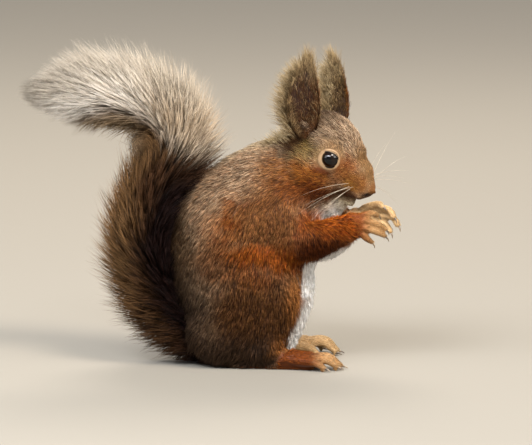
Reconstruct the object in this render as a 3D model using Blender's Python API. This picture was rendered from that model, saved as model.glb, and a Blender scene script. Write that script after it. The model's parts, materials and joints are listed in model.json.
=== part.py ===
"""A red squirrel at life size, sitting up with both hands before its mouth.

Metres, +Z up, +X the way the body faces, +Y to the animal's left.  Sizes in the
tables below are millimetres in the sitting frame: x = 0 lies under the middle of
the haunches, y = 0 on the body's middle plane and z = 0 on the floor.  The solids
reach out to the tips of the coat.  The last step moves the whole animal so that
the origin is under the middle of its box.
"""

import math

import bmesh
import bpy
from mathutils import Euler, Matrix, Vector

MM = 0.001
GAP = 0.3 * MM  # left between pieces that meet

# Head: its own frame has x towards the nose, y to the left and z to the crown.
HEAD_CENTRE = (57.5, -3.5, 119.5)
HEAD_ROLL, HEAD_PITCH, HEAD_TURN = 10, 30, -30  # degrees; the nose is down and to the right
EYE_RADIUS = 5.2
EYE_PLACE = (2.9, 12.4, 6.0)  # head frame, left eye

# Paws
FINGER_RADIUS = (1.75, 1.6, 1.25)
TOE_RADIUS = (2.5, 2.3, 1.6)
HAND_CLAW_LENGTH, FOOT_CLAW_LENGTH = 4.2, 4.8
CLAW_RADIUS = 0.75

# Fineness of the solids
BODY_VOXEL, PAW_VOXEL = 1.5 * MM, 0.55 * MM
RING = 20  # corners of a loft's ring
BODY_FACES, TAIL_FACES, HAND_FACES, FOOT_FACES = 1800, 640, 330, 370


# ---------------------------------------------------------------- helpers


def clear_scene():
    for old in list(bpy.data.objects):
        bpy.data.objects.remove(old)


def material(name, colour, roughness):
    made = bpy.data.materials.new(name)
    made.use_nodes = True
    shader = made.node_tree.nodes["Principled BSDF"]
    shader.inputs["Base Color"].default_value = (*colour, 1)
    shader.inputs["Roughness"].default_value = roughness
    shader.inputs["Metallic"].default_value = 0
    return made


def add_object(name, mesh, helper=False):
    made = bpy.data.objects.new(name, mesh)
    bpy.context.scene.collection.objects.link(made)
    if helper:
        made.hide_render = True
        made.display_type = "WIRE"
    return made


def evaluated_mesh(obj):
    """The object's mesh with its modifiers applied."""
    bpy.context.view_layer.update()
    graph = bpy.context.evaluated_depsgraph_get()
    return bpy.data.meshes.new_from_object(obj.evaluated_get(graph), depsgraph=graph)


def smooth_path(stations, steps):
    """Stations with `steps` Catmull-Rom points from each one to the next."""
    ends = [stations[0], *stations, stations[-1]]
    made = []
    for i in range(1, len(ends) - 2):
        p0, p1, p2, p3 = (ends[i + k] for k in (-1, 0, 1, 2))
        for step in range(steps):
            t = step / steps
            made.append(
                tuple(
                    0.5
                    * (
                        2 * b
                        + (c - a) * t
                        + (2 * a - 5 * b + 4 * c - d) * t * t
                        + (3 * b - a - 3 * c + d) * t**3
                    )
                    for a, b, c, d in zip(p0, p1, p2, p3)
                )
            )
    return [*made, tuple(stations[-1])]


def loft(bm, stations, steps=3, ring=RING, side=(0, 1, 0), matrix=Matrix()):
    """A closed tube in bm through stations (x, y, z, half depth, half width), all in mm.

    Half width lies along `side`, half depth across it, and both ends are domed.
    """
    path = smooth_path(stations, steps)
    points = [Vector(p[:3]) for p in path]
    rings = []
    for i, (_, _, _, depth, width) in enumerate(path):
        along = points[min(i + 1, len(points) - 1)] - points[max(i - 1, 0)]
        along.normalize()
        across = Vector(side)
        across = (across - across.dot(along) * along).normalized()
        rings.append((points[i], along, across, across.cross(along), depth, width))
    first, last = rings[0], rings[-1]
    domed = []
    for end, sign in ((first, -1), (last, 1)):
        centre, along, across, up, depth, width = end
        reach = 0.6 * min(depth, width)
        for turn in (35, 65):
            out = math.sin(math.radians(turn)) * reach * sign
            size = math.cos(math.radians(turn))
            domed.append((centre + along * out, along, across, up, depth * size, width * size))
    rings = [domed[1], domed[0], *rings, domed[2], domed[3]]
    corners = []
    for centre, _, across, up, depth, width in rings:
        corners.append(
            [
                bm.verts.new(
                    matrix
                    @ (
                        centre
                        + across * (width * math.cos(2 * math.pi * k / ring))
                        + up * (depth * math.sin(2 * math.pi * k / ring))
                    )
                )
                for k in range(ring)
            ]
        )
    for low, high in zip(corners, corners[1:]):
        for k in range(ring):
            n = (k + 1) % ring
            bm.faces.new((low[k], low[n], high[n], high[k]))
    for loop, (centre, along, _, _, depth, width), sign in (
        (corners[0], rings[0], -1),
        (corners[-1], rings[-1], 1),
    ):
        pole = bm.verts.new(matrix @ (centre + along * (0.12 * min(depth, width) * sign)))
        for k in range(ring):
            n = (k + 1) % ring
            bm.faces.new((loop[k], loop[n], pole))


def ellipsoid(bm, centre, radii, turn=(0, 0, 0), matrix=Matrix(), fineness=3):
    """An ellipsoid in bm; radii in mm, turned by Euler angles in degrees."""
    place = (
        matrix
        @ Matrix.Translation(centre)
        @ Euler([math.radians(a) for a in turn]).to_matrix().to_4x4()
        @ Matrix.Diagonal((*radii, 1))
    )
    bmesh.ops.create_icosphere(bm, subdivisions=fineness, radius=1, matrix=place)


def finished(bm, name):
    """A mesh in metres from bm, which is in mm, with its faces pointing out."""
    bmesh.ops.scale(bm, vec=(MM, MM, MM), verts=bm.verts)
    bmesh.ops.recalc_face_normals(bm, faces=bm.faces)
    mesh = bpy.data.meshes.new(name)
    bm.to_mesh(mesh)
    bm.free()
    return mesh


def melted(bm, name, voxel, smoothing, triangles):
    """The shapes of bm melted into one skin of about that many triangles."""
    blank = add_object(name + "_blank", finished(bm, name), helper=True)
    remesh = blank.modifiers.new("melt", "REMESH")
    remesh.mode = "VOXEL"
    remesh.voxel_size = voxel
    relax = blank.modifiers.new("relax", "SMOOTH")
    relax.factor = 0.5
    relax.iterations = smoothing
    dense = evaluated_mesh(blank)
    share = triangles / (2 * len(dense.polygons))
    thin = blank.modifiers.new("thin", "DECIMATE")
    thin.ratio = min(1, share)
    mesh = evaluated_mesh(blank)
    bpy.data.objects.remove(blank)
    return mesh


def boolean(obj, other, operation):
    cut = obj.modifiers.new(operation.lower(), "BOOLEAN")
    cut.object = other
    cut.operation = operation
    return cut


def grown(mesh, distance=GAP):
    """A helper object of the mesh, grown along its normals, to cut a clearance with."""
    helper = add_object("clearance", mesh.copy(), helper=True)
    push = helper.modifiers.new("push", "DISPLACE")
    push.strength = distance
    push.mid_level = 0
    return helper


def keep_largest(mesh):
    """Deletes all but the largest island of a mesh."""
    bm = bmesh.new()
    bm.from_mesh(mesh)
    left, islands = set(bm.verts), []
    while left:
        island, front = set(), [left.pop()]
        while front:
            v = front.pop()
            island.add(v)
            for e in v.link_edges:
                w = e.other_vert(v)
                if w in left:
                    left.remove(w)
                    front.append(w)
        islands.append(island)
    for island in sorted(islands, key=len)[:-1]:
        bmesh.ops.delete(bm, geom=list(island), context="VERTS")
    bm.to_mesh(mesh)
    bm.free()


def as_node(name, mesh, finish, parent):
    """The finished piece: one mesh, one material, smooth shaded."""
    made = add_object(name, mesh)
    mesh.materials.clear()
    mesh.materials.append(finish)
    mesh.shade_smooth()
    mesh.set_sharp_from_angle(angle=math.radians(50))
    made.parent = parent
    return made


def cut_node(name, mesh, keep, avoid, finish, parent):
    """A node of `mesh` inside the helper `keep` and outside each helper in `avoid`."""
    blank = add_object(name + "_blank", mesh.copy(), helper=True)
    if keep:
        boolean(blank, keep, "INTERSECT")
    for other in avoid:
        boolean(blank, other, "DIFFERENCE")
    cut = evaluated_mesh(blank)
    bpy.data.objects.remove(blank)
    keep_largest(cut)
    return as_node(name, cut, finish, parent)


def helper_shape(kind, place, turn, size):
    """A box, drum (its axis along y) or ellipsoid: centre in mm, turn in degrees, full size in mm."""
    bm = bmesh.new()
    at = (
        Matrix.Translation(place)
        @ Euler([math.radians(a) for a in turn]).to_matrix().to_4x4()
        @ Matrix.Diagonal((*size, 1))
    )
    if kind == "box":
        bmesh.ops.create_cube(bm, size=1, matrix=at)
    elif kind == "drum":
        upright = at @ Matrix.Rotation(math.radians(90), 4, "X")
        bmesh.ops.create_cone(
            bm, cap_ends=True, segments=18, radius1=0.5, radius2=0.5, depth=1, matrix=upright
        )
    else:
        ellipsoid(bm, place, [extent / 2 for extent in size], turn)
    return add_object(kind, finished(bm, kind), helper=True)


def parted(mesh, cuts, rest, avoid, finish, parent):
    """Nodes of `mesh`: what the shapes in `cuts` take in turn, then what is left as `rest`."""
    made, taken = [], []
    for name, kind, place, turn, size in cuts:
        keep = helper_shape(kind, place, turn, size)
        made.append(cut_node(name, mesh, keep, [*avoid, *taken], finish, parent))
        room = [extent + 2 * GAP / MM for extent in size]
        taken.append(helper_shape(kind, place, turn, room))
    made.append(cut_node(rest, mesh, None, [*avoid, *taken], finish, parent))
    return made


# ---------------------------------------------------------------- body


def head_matrix():
    angles = [math.radians(a) for a in (HEAD_ROLL, HEAD_PITCH, HEAD_TURN)]
    return Matrix.Translation(HEAD_CENTRE) @ Euler(angles, "XYZ").to_matrix().to_4x4()


def mirrored(point, side):
    """A left-side point for side 1, or its mirror image for side -1."""
    return (point[0], point[1] * side, *point[2:])


TRUNK = [  # x, y, z, half depth, half width
    (6, 0, 4, 27, 24),
    (6, 0, 16, 34, 29),
    (5.5, 0, 38, 42, 31),
    (5, 0, 60, 43, 31),
    (9, 0, 80, 41, 28),
    (20, 0, 97, 35, 24),
    (33, -1, 108, 29, 21),
    (45, -2, 114, 24, 19),
]

HEAD = [  # in the head frame
    (31.0, 0, -3.2, 2.6, 3.0),
    (29.4, 0, -3.4, 4.8, 4.6),
    (25.5, 0, -3.8, 8.0, 6.8),
    (20.0, 0, -3.5, 12.0, 9.4),
    (13.0, 0, -3.4, 16.2, 12.8),
    (6.5, 0, -1.4, 20.0, 15.8),
    (-2, 0, 1.0, 22.8, 18.2),
    (-10, 0, 1.5, 22.5, 18.6),
    (-18, 0, 0, 19.5, 17),
]


def add_trunk(bm):
    loft(bm, TRUNK)
    ellipsoid(bm, (-9, 0, 86), (28, 21, 29.5))  # upper back
    ellipsoid(bm, (-13.5, 0, 72), (25.5, 21, 24))  # small of the back
    ellipsoid(bm, (37, 0, 72), (17, 17, 22), (0, 18, 0))  # breast behind the forearms
    ellipsoid(bm, (44, -1.5, 92), (15, 14, 17), (0, 30, 0))  # throat


def add_head(bm):
    at = head_matrix()
    loft(bm, HEAD, matrix=at)
    for side in (1, -1):
        ellipsoid(bm, mirrored((1, 10, -10), side), (13, 9, 10), (0, 10, 0), at)  # cheek
        ellipsoid(bm, mirrored((8, 8.4, 7.8), side), (8.5, 6.3, 6.3), (0, 35, 0), at)  # brow
        ellipsoid(bm, mirrored((24, 4.2, -7), side), (5.5, 4.4, 5), (0, 20, 0), at)  # lip pad
    ellipsoid(bm, (17.5, 0, -15), (8, 6, 5), (0, 35, 0), at)  # chin


ARMS = {  # shoulder, elbow, wrist: x, y, z, half depth, half width
    "right": [
        (21, -17, 91, 17, 9),
        (31, -20, 79, 15, 9.5),
        (40, -21.5, 73.5, 12.5, 9.5),
        (50, -21, 76, 10.8, 8.5),
        (59, -20, 79.5, 9.6, 7),
        (66, -19.5, 82, 8.2, 5.4),
    ],
    "left": [
        (22, 16, 90, 16, 9),
        (33, 17, 78, 14, 9.5),
        (44, 16, 69.5, 12.5, 9.5),
        (55, 11, 71, 11.5, 8.5),
        (63, 4, 76.5, 9, 7),
        (69.5, -1, 81.5, 6.2, 5.4),
    ],
}

HAUNCH = {  # ellipsoids: centre, radii, turn
    "right": [
        ((9, -19, 38), (31, 17, 32), (0, -12, 0)),
        ((16, -20, 17), (16.5, 14, 17), (0, 0, 0)),
        ((-4, -17, 22), (26, 16, 22), (0, 0, 0)),
    ],
}
HAUNCH["left"] = [
    (mirrored(centre, -1), radii, turn) for centre, radii, turn in HAUNCH["right"]
]


def body_mesh():
    """Head, neck, trunk, arms and haunches as one skin."""
    bm = bmesh.new()
    add_trunk(bm)
    add_head(bm)
    for side in ("right", "left"):
        loft(bm, ARMS[side])
        for centre, radii, turn in HAUNCH[side]:
            ellipsoid(bm, centre, radii, turn)
    return melted(bm, "body", BODY_VOXEL, 7, BODY_FACES)


# ---------------------------------------------------------------- paws

HANDS = {  # palm stations, then each finger's three joints
    "right": {
        "palm": [(64, -19.5, 82, 7.4, 5), (68, -20, 82.8, 7.8, 4.4), (72.5, -20, 83, 7.2, 3.2)],
        "fingers": [
            [(71, -19, 87.5), (78, -18, 89.5), (81.5, -15.5, 88)],
            [(73, -20.5, 85.5), (81, -20.5, 83.8), (86.5, -18, 80)],
            [(73, -21, 82), (80.5, -21.5, 79.5), (86, -19.5, 76.3)],
            [(71, -20.5, 79), (75.5, -21.5, 75.6), (78.5, -20.5, 73)],
        ],
    },
    "left": {
        "palm": [(67, -1, 81.5, 6, 4.8), (73, -2.5, 84, 6.6, 4.2), (78, -3.5, 86, 6.6, 3.4)],
        "fingers": [
            [(76, -4.5, 91), (82, -7, 94), (85, -10.5, 92.8)],
            [(79, -4, 89.5), (88.5, -6.5, 91), (92, -10.5, 86.5)],
            [(80, -4, 86), (91, -6.5, 86.3), (94.3, -10.5, 81.6)],
            [(79, -4, 82.5), (87.5, -6, 81.5), (90, -10, 77.6)],
        ],
    },
}

FEET = {
    "right": {
        "sole": [
            (4, -19, 6.1, 6.8, 6),
            (18, -20.5, 5.8, 6.6, 6),
            (32, -22.5, 5.4, 6.2, 6.2),
            (44, -24, 4.8, 5.6, 7),
        ],
        "toes": [
            [(38, -19, 4.6), (44, -17.5, 3.8), (48, -17, 1.7)],
            [(44, -21, 5.4), (53, -20.5, 6.4), (59, -20.5, 1.7)],
            [(45, -24, 5.6), (54, -24.5, 6.8), (61, -25, 1.7)],
            [(44, -27, 5.4), (52.5, -28.8, 6.2), (58.5, -30.2, 1.7)],
            [(38, -28.5, 4.8), (46, -32, 5.2), (51, -34, 1.7)],
        ],
    },
    "left": {
        "sole": [
            (4, 20, 6.1, 6.8, 6),
            (17, 22.5, 6, 6.8, 6.2),
            (30, 25, 5.8, 6.6, 6.6),
            (42, 27, 5.4, 6, 7),
        ],
        "toes": [
            [(36, 21.5, 5.2), (43, 19, 5), (48, 17.5, 1.7)],
            [(42, 24, 6.2), (51.5, 22.5, 7.8), (58.5, 21, 1.7)],
            [(43, 27, 6.6), (52.5, 27, 8.6), (60, 26.5, 1.7)],
            [(42, 30, 6.4), (51, 31.5, 8.2), (57.5, 32, 1.7)],
            [(37, 31.5, 6.2), (45.5, 34.5, 7), (51, 36, 1.7)],
        ],
    },
}


def paw_mesh(name, root, digits, radii, triangles):
    """A palm or sole with its digits."""
    bm = bmesh.new()
    loft(bm, root, steps=2, ring=14)
    for digit in digits:
        stations = [(*joint, r, r) for joint, r in zip(digit, radii)]
        loft(bm, stations, steps=2, ring=10, side=(0.3, 1, 0.2))
    return melted(bm, name, PAW_VOXEL, 3, triangles)


def claw(name, digit, tip_radius, length, dip, drop, finish, parent):
    """A curved, tapering claw that starts just off the tip of a digit.

    A dip of 1 carries on the digit's own slope, and 0 lies level.
    """
    before, tip = Vector(digit[1]), Vector(digit[2])
    out = tip - before
    out.z *= dip
    out.normalize()
    start = tip + out * (tip_radius * 0.6 + 0.45)
    down = Vector((0, 0, -1))
    down = (down - down.dot(out) * out).normalized()
    shape = bpy.data.curves.new(name, "CURVE")
    shape.dimensions = "3D"
    shape.bevel_depth = CLAW_RADIUS * MM
    shape.bevel_resolution = 1
    shape.use_fill_caps = True
    line = shape.splines.new("POLY")
    count = 4
    line.points.add(count - 1)
    for i, point in enumerate(line.points):
        t = i / (count - 1)
        place = start + out * (length * t * (1 - 0.25 * t)) + down * (drop * t * t)
        point.co = (*(place * MM), 1)
        point.radius = 1 - 0.82 * t**1.3
    bent = add_object(name + "_line", shape, helper=True)
    mesh = evaluated_mesh(bent)
    bpy.data.objects.remove(bent)
    bm = bmesh.new()
    bm.from_mesh(mesh)
    bmesh.ops.remove_doubles(bm, verts=bm.verts, dist=0.01 * MM)
    bmesh.ops.recalc_face_normals(bm, faces=bm.faces)
    bm.to_mesh(mesh)
    bm.free()
    return as_node(name, mesh, finish, parent)


# ---------------------------------------------------------------- ears and tail

EARS = {  # x, y, z, half depth, half width, then the way the flat side faces
    "right": (
        [
            (41, -9, 131, 10, 6.2),
            (39.5, -11.5, 140, 11.6, 6.4),
            (38, -13, 152, 11.2, 5.6),
            (38.5, -13, 164, 10.2, 4.4),
            (40, -12, 174, 8.6, 3.2),
            (41.5, -11.5, 181, 6, 2.4),
            (42.2, -11, 186.5, 2.6, 1.5),
        ],
        (-0.1, -1, 0.1),
    ),
    "left": (
        [
            (56, 12, 133, 9, 6.2),
            (58, 14.5, 143, 9, 6.2),
            (58, 15.5, 153, 9, 5.4),
            (58, 15.5, 162, 8.4, 4.2),
            (57.6, 15, 170.5, 7, 3.2),
            (57.2, 14.5, 177, 5.2, 2.4),
            (55.6, 14, 184.5, 1.6, 1.4),
        ],
        (0.3, 0.95, 0.1),
    ),
}

TAIL = [  # x, y, z, half depth, half width
    (-12, 0, 13, 14, 16),
    (-33, 0, 18, 19, 21),
    (-51, 0, 36, 22, 26),
    (-58.5, 0, 58, 23, 28),
    (-58, 0, 79, 23, 28.5),
    (-50, 0, 98, 24, 28.5),
    (-40.5, 0, 114, 25.5, 28.5),
    (-34, 0, 130, 27, 28),
]
TAIL_CURL = [
    (-29.5, 0, 127, 27.5, 27),
    (-32.5, 0, 146.5, 26, 27),
    (-49, 0, 156.8, 25.5, 27),
    (-72, 0, 159.5, 25, 26.5),
    (-92, 0, 158.5, 22, 23),
    (-107, 0, 157, 15.5, 17),
    (-119, 0, 156.5, 6, 7),
]


def tail_mesh():
    bm = bmesh.new()
    loft(bm, TAIL)
    loft(bm, TAIL_CURL)
    return melted(bm, "tail", BODY_VOXEL, 8, TAIL_FACES)


# ---------------------------------------------------------------- assembly

BODY_CUTS = [  # name, helper shape, centre, turn, size; in the order they are taken
    ("forearm_right", "box", (62, -28, 76), (0, -14, 4), (44, 32, 32)),
    ("forearm_left", "box", (64, 13, 74), (0, -14, -30), (44, 32, 34)),
    ("head", "box", (70, -8, 122), (0, -32, -12), (62, 70, 66)),
    ("neck", "box", (57, -3, 127), (0, -42, 0), (78, 64, 60)),
    ("upper_arm_right", "drum", (27, -35, 81), (0, 30, 0), (56, 40, 42)),
    ("upper_arm_left", "drum", (29, 34, 80), (0, 30, 0), (56, 40, 42)),
    ("haunch_right", "drum", (7, -36, 28), (-6, 8, 0), (76, 46, 84)),
    ("haunch_left", "drum", (7, 36, 28), (6, 8, 0), (76, 46, 84)),
    ("chest", "box", (-8.6, 0, 120.2), (0, -14, 0), (200, 120, 120)),
]
TAIL_CUTS = [
    ("tail_tip", "box", (-96.4, 0, 171.5), (0, 17.5, 0), (90, 90, 92)),
    ("tail_bend", "box", (-25, 0, 138.8), (0, 30, 0), (140, 90, 80)),
    ("tail_middle", "box", (-45, 0, 111), (0, 0, 0), (120, 90, 90)),
    ("tail_lower", "box", (-77.5, 0, 59), (0, -48.6, 0), (140, 90, 100)),
]


def build():
    clear_scene()
    coat = material("coat", (0.30, 0.14, 0.06), 0.85)
    pale = material("tail_coat", (0.42, 0.31, 0.22), 0.85)
    skin = material("paw_skin", (0.55, 0.28, 0.13), 0.7)
    horn = material("horn", (0.05, 0.04, 0.035), 0.4)
    glass = material("eye", (0.008, 0.007, 0.007), 0.05)
    squirrel = bpy.data.objects.new("squirrel", None)
    bpy.context.scene.collection.objects.link(squirrel)

    floor = helper_shape("box", (0, 0, -50), (0, 0, 0), (500, 300, 100))
    body = body_mesh()
    near_body = grown(body)
    nodes = []

    # Eyes, and the room that the head leaves for them
    sockets = []
    for name, side in (("right", -1), ("left", 1)):
        place = head_matrix() @ Vector(mirrored(EYE_PLACE, side))
        bm = bmesh.new()
        ellipsoid(bm, place, (EYE_RADIUS,) * 3)
        nodes.append(as_node(f"eye_{name}", finished(bm, "eye"), glass, squirrel))
        sockets.append(helper_shape("ellipsoid", place, (0, 0, 0), (2 * EYE_RADIUS + 0.6,) * 3))

    nodes += parted(body, BODY_CUTS, "belly", [floor, *sockets], coat, squirrel)

    # Ears
    for name, (stations, facing) in EARS.items():
        bm = bmesh.new()
        loft(bm, stations, steps=1, ring=12, side=facing)
        nodes.append(cut_node(f"ear_{name}", finished(bm, "ear"), None, [near_body], coat, squirrel))

    # Hands and feet with their claws
    for side in ("right", "left"):
        hand, foot = HANDS[side], FEET[side]
        mesh = paw_mesh("hand", hand["palm"], hand["fingers"], FINGER_RADIUS, HAND_FACES)
        nodes.append(cut_node(f"hand_{side}", mesh, None, [near_body], skin, squirrel))
        mesh = paw_mesh("foot", foot["sole"], foot["toes"], TOE_RADIUS, FOOT_FACES)
        nodes.append(cut_node(f"foot_{side}", mesh, None, [near_body, floor], skin, squirrel))
        for i, digit in enumerate(hand["fingers"], 1):
            name = f"claw_hand_{side}_{i}"
            nodes.append(
                claw(name, digit, FINGER_RADIUS[2], HAND_CLAW_LENGTH, 1, 1.6, horn, squirrel)
            )
        for i, digit in enumerate(foot["toes"], 1):
            name = f"claw_foot_{side}_{i}"
            nodes.append(
                claw(name, digit, TOE_RADIUS[2], FOOT_CLAW_LENGTH, 0.15, 0.8, horn, squirrel)
            )

    nodes += parted(tail_mesh(), TAIL_CUTS, "tail_root", [near_body, floor], pale, squirrel)

    for helper in [o for o in bpy.data.objects if o.hide_render]:
        bpy.data.objects.remove(helper)
    centre_over_origin(nodes)


def centre_over_origin(nodes):
    """Moves every mesh so that the origin is under the middle of the animal's box."""
    points = [v.co for node in nodes for v in node.data.vertices]
    shift = Vector(
        (
            -(min(p.x for p in points) + max(p.x for p in points)) / 2,
            -(min(p.y for p in points) + max(p.y for p in points)) / 2,
            -min(p.z for p in points),
        )
    )
    for node in nodes:
        node.data.transform(Matrix.Translation(shift))
    print("origin moved by", [round(v / MM, 2) for v in shift], "mm")


build()
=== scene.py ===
import json
import math

import bpy
import numpy as np
from mathutils import Euler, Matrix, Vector
from mathutils.bvhtree import BVHTree
from mathutils.kdtree import KDTree

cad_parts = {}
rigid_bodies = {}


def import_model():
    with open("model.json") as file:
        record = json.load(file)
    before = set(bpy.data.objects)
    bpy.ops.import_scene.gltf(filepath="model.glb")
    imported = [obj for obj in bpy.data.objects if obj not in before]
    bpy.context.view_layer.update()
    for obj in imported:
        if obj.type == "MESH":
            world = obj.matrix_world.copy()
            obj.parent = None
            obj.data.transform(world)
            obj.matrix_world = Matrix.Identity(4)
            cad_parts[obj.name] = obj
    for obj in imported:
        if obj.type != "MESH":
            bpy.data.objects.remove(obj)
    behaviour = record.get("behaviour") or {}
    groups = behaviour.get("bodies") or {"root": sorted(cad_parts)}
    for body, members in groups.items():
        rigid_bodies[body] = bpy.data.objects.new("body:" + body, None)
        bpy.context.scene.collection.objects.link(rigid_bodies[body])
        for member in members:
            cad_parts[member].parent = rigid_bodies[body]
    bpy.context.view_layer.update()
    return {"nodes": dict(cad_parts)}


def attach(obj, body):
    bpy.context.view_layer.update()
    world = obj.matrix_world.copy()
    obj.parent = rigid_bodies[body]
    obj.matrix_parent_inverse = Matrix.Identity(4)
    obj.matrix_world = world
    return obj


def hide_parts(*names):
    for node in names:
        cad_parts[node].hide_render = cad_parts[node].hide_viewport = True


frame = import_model()
nodes = frame["nodes"]
rng = np.random.default_rng(20)
mm = 0.001
sketchOrigin = np.array([13.02, -0.83, 0.0])  # where the model was drawn from, in the frame, mm
sparse = 1.0

headPose = {"centre": (57.5, -3.5, 119.5), "roll": 10, "pitch": 30, "turn": -30}
headCentre = np.array(headPose["centre"])
headTurn = np.array(
    Euler([math.radians(headPose[k]) for k in ("roll", "pitch", "turn")], "XYZ").to_matrix()
)
eyeBall = {"radius": 5.4, "place": (3.2, 12.1, 6.0), "gaze": (0.12, 1.0, 0.06)}  # head frame, left


def toLinear(hexColour):
    values = np.array([int(hexColour[i:i + 2], 16) / 255 for i in (0, 2, 4)])
    return np.where(values <= 0.04045, values / 12.92, ((values + 0.055) / 1.055) ** 2.4)


def toHead(points):
    return (points - headCentre) @ headTurn


def fromHead(points):
    return points @ headTurn.T + headCentre


def unit(vectors):
    length = np.linalg.norm(vectors, axis=-1, keepdims=True)
    return vectors / np.maximum(length, 1e-9)


# the part of each way that lies along the surface
def alongSurface(ways, normals):
    return ways - normals * (ways * normals).sum(1)[:, None]


def smoothStep(value, low, high):
    t = np.clip((value - low) / (high - low), 0, 1)
    return t * t * (3 - 2 * t)


# smooth noise from -1 to 1 that changes over a cell's width
def softNoise(points, cell, seed):
    spot = points / cell + seed * 7.31
    base = np.floor(spot).astype(np.int64)
    part = spot - base
    part = part * part * (3 - 2 * part)
    total = np.zeros(len(points))
    for corner in range(8):
        step = np.array([corner & 1, corner >> 1 & 1, corner >> 2 & 1])
        mixed = ((base + step) * np.array([73856093, 19349663, 83492791])).sum(1) + seed * 7919
        mixed = (mixed ^ (mixed >> 13)) * 1103515245 + 12345
        mixed = (mixed ^ (mixed >> 15)) * 69069
        value = ((mixed >> 9) & 0xFFFF) / 32767.5 - 1
        total += value * np.prod(np.where(step == 1, part, 1 - part), axis=1)
    return total


def noiseVectors(points, cell, seed):
    return np.stack([softNoise(points, cell, seed + k) for k in range(3)], axis=1)


# points evenly along a smooth line through the stations, with every column carried along
def splinePoints(stations, count):
    stations = np.array(stations, float)
    padded = np.vstack([2 * stations[0] - stations[1], stations, 2 * stations[-1] - stations[-2]])
    fine = []
    for i in range(1, len(padded) - 2):
        p0, p1, p2, p3 = padded[i - 1:i + 3]
        for t in np.linspace(0, 1, 16, endpoint=False):
            fine.append(
                0.5 * (2 * p1 + (p2 - p0) * t + (2 * p0 - 5 * p1 + 4 * p2 - p3) * t * t
                       + (3 * p1 - p0 - 3 * p2 + p3) * t**3)
            )
    fine = np.array(fine + [stations[-1]])
    along = np.concatenate([[0], np.cumsum(np.linalg.norm(np.diff(fine[:, :3], axis=0), axis=1))])
    wanted = np.linspace(0, along[-1], count)
    return np.stack([np.interp(wanted, along, fine[:, k]) for k in range(fine.shape[1])], axis=1), along[-1]


def cornerNormals(points, corners):
    a, b, c = (points[corners[:, i]] for i in range(3))
    return np.cross(b - a, c - a)


def pointNormals(points, corners):
    face = cornerNormals(points, corners)
    total = np.zeros_like(points)
    for i in range(3):
        for k in range(3):
            total[:, k] += np.bincount(corners[:, i], face[:, k], len(points))
    return unit(total)


def edgePairs(corners):
    pairs = np.sort(np.concatenate([corners[:, [0, 1]], corners[:, [1, 2]], corners[:, [2, 0]]]), axis=1)
    keys = np.unique(pairs[:, 0].astype(np.int64) * 10_000_000 + pairs[:, 1])
    return np.stack([keys // 10_000_000, keys % 10_000_000], axis=1)


# values on the points of a mesh, evened out with their neighbours
def blurred(values, pairs, rounds, share=0.5):
    flat = values.reshape(len(values), -1).astype(float).copy()
    size = len(flat)
    near = np.maximum(np.bincount(pairs.ravel(), minlength=size), 1)[:, None]
    share = np.asarray(share).reshape(-1, 1)
    for _ in range(rounds):
        total = np.stack(
            [np.bincount(pairs[:, 0], flat[pairs[:, 1], k], size)
             + np.bincount(pairs[:, 1], flat[pairs[:, 0], k], size) for k in range(flat.shape[1])],
            axis=1,
        )
        flat += share * (total / near - flat)
    return flat.reshape(values.shape)


def meshArrays(obj):
    mesh = obj.data
    mesh.calc_loop_triangles()
    points = np.zeros(len(mesh.vertices) * 3)
    mesh.vertices.foreach_get("co", points)
    corners = np.zeros(len(mesh.loop_triangles) * 3, np.int32)
    mesh.loop_triangles.foreach_get("vertices", corners)
    return points.reshape(-1, 3) / mm - sketchOrigin, corners.reshape(-1, 3).astype(np.int64)


def setPoints(obj, points):
    obj.data.vertices.foreach_set("co", ((points + sketchOrigin) * mm).ravel())
    obj.data.update()


# an object from points in mm and faces given as one flat list of corners with the sides of each
def meshObject(name, points, faces, sides):
    mesh = bpy.data.meshes.new(name)
    mesh.vertices.add(len(points))
    mesh.vertices.foreach_set("co", ((points + sketchOrigin) * mm).ravel())
    mesh.loops.add(len(faces))
    mesh.loops.foreach_set("vertex_index", faces.astype(np.int32))
    mesh.polygons.add(len(sides))
    starts = np.concatenate([[0], np.cumsum(sides)[:-1]])
    mesh.polygons.foreach_set("loop_start", starts.astype(np.int32))
    mesh.update(calc_edges=True)
    mesh.shade_smooth()
    obj = bpy.data.objects.new(name, mesh)
    bpy.context.collection.objects.link(obj)
    return obj


def paintPoints(obj, colours):
    layer = obj.data.color_attributes.new("tone", "FLOAT_COLOR", "POINT")
    values = np.ones((len(colours), 4), np.float32)
    values[:, :3] = colours
    layer.data.foreach_set("color", values.ravel())


def pickOnly(obj):
    bpy.ops.object.select_all(action="DESELECT")
    obj.select_set(True)
    bpy.context.view_layer.objects.active = obj


def applyModifier(obj, kind, **settings):
    pickOnly(obj)
    modifier = obj.modifiers.new(kind.lower(), kind)
    for key, value in settings.items():
        setattr(modifier, key, value)
    bpy.ops.object.modifier_apply(modifier=modifier.name)


def addNode(tree, kind, values=None, links=None, **settings):
    node = tree.nodes.new(kind)
    for key, value in settings.items():
        setattr(node, key, value)
    for socket, value in (values or {}).items():
        node.inputs[socket].default_value = value
    for socket, source in (links or {}).items():
        tree.links.new(source, node.inputs[socket])
    return node


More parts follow.
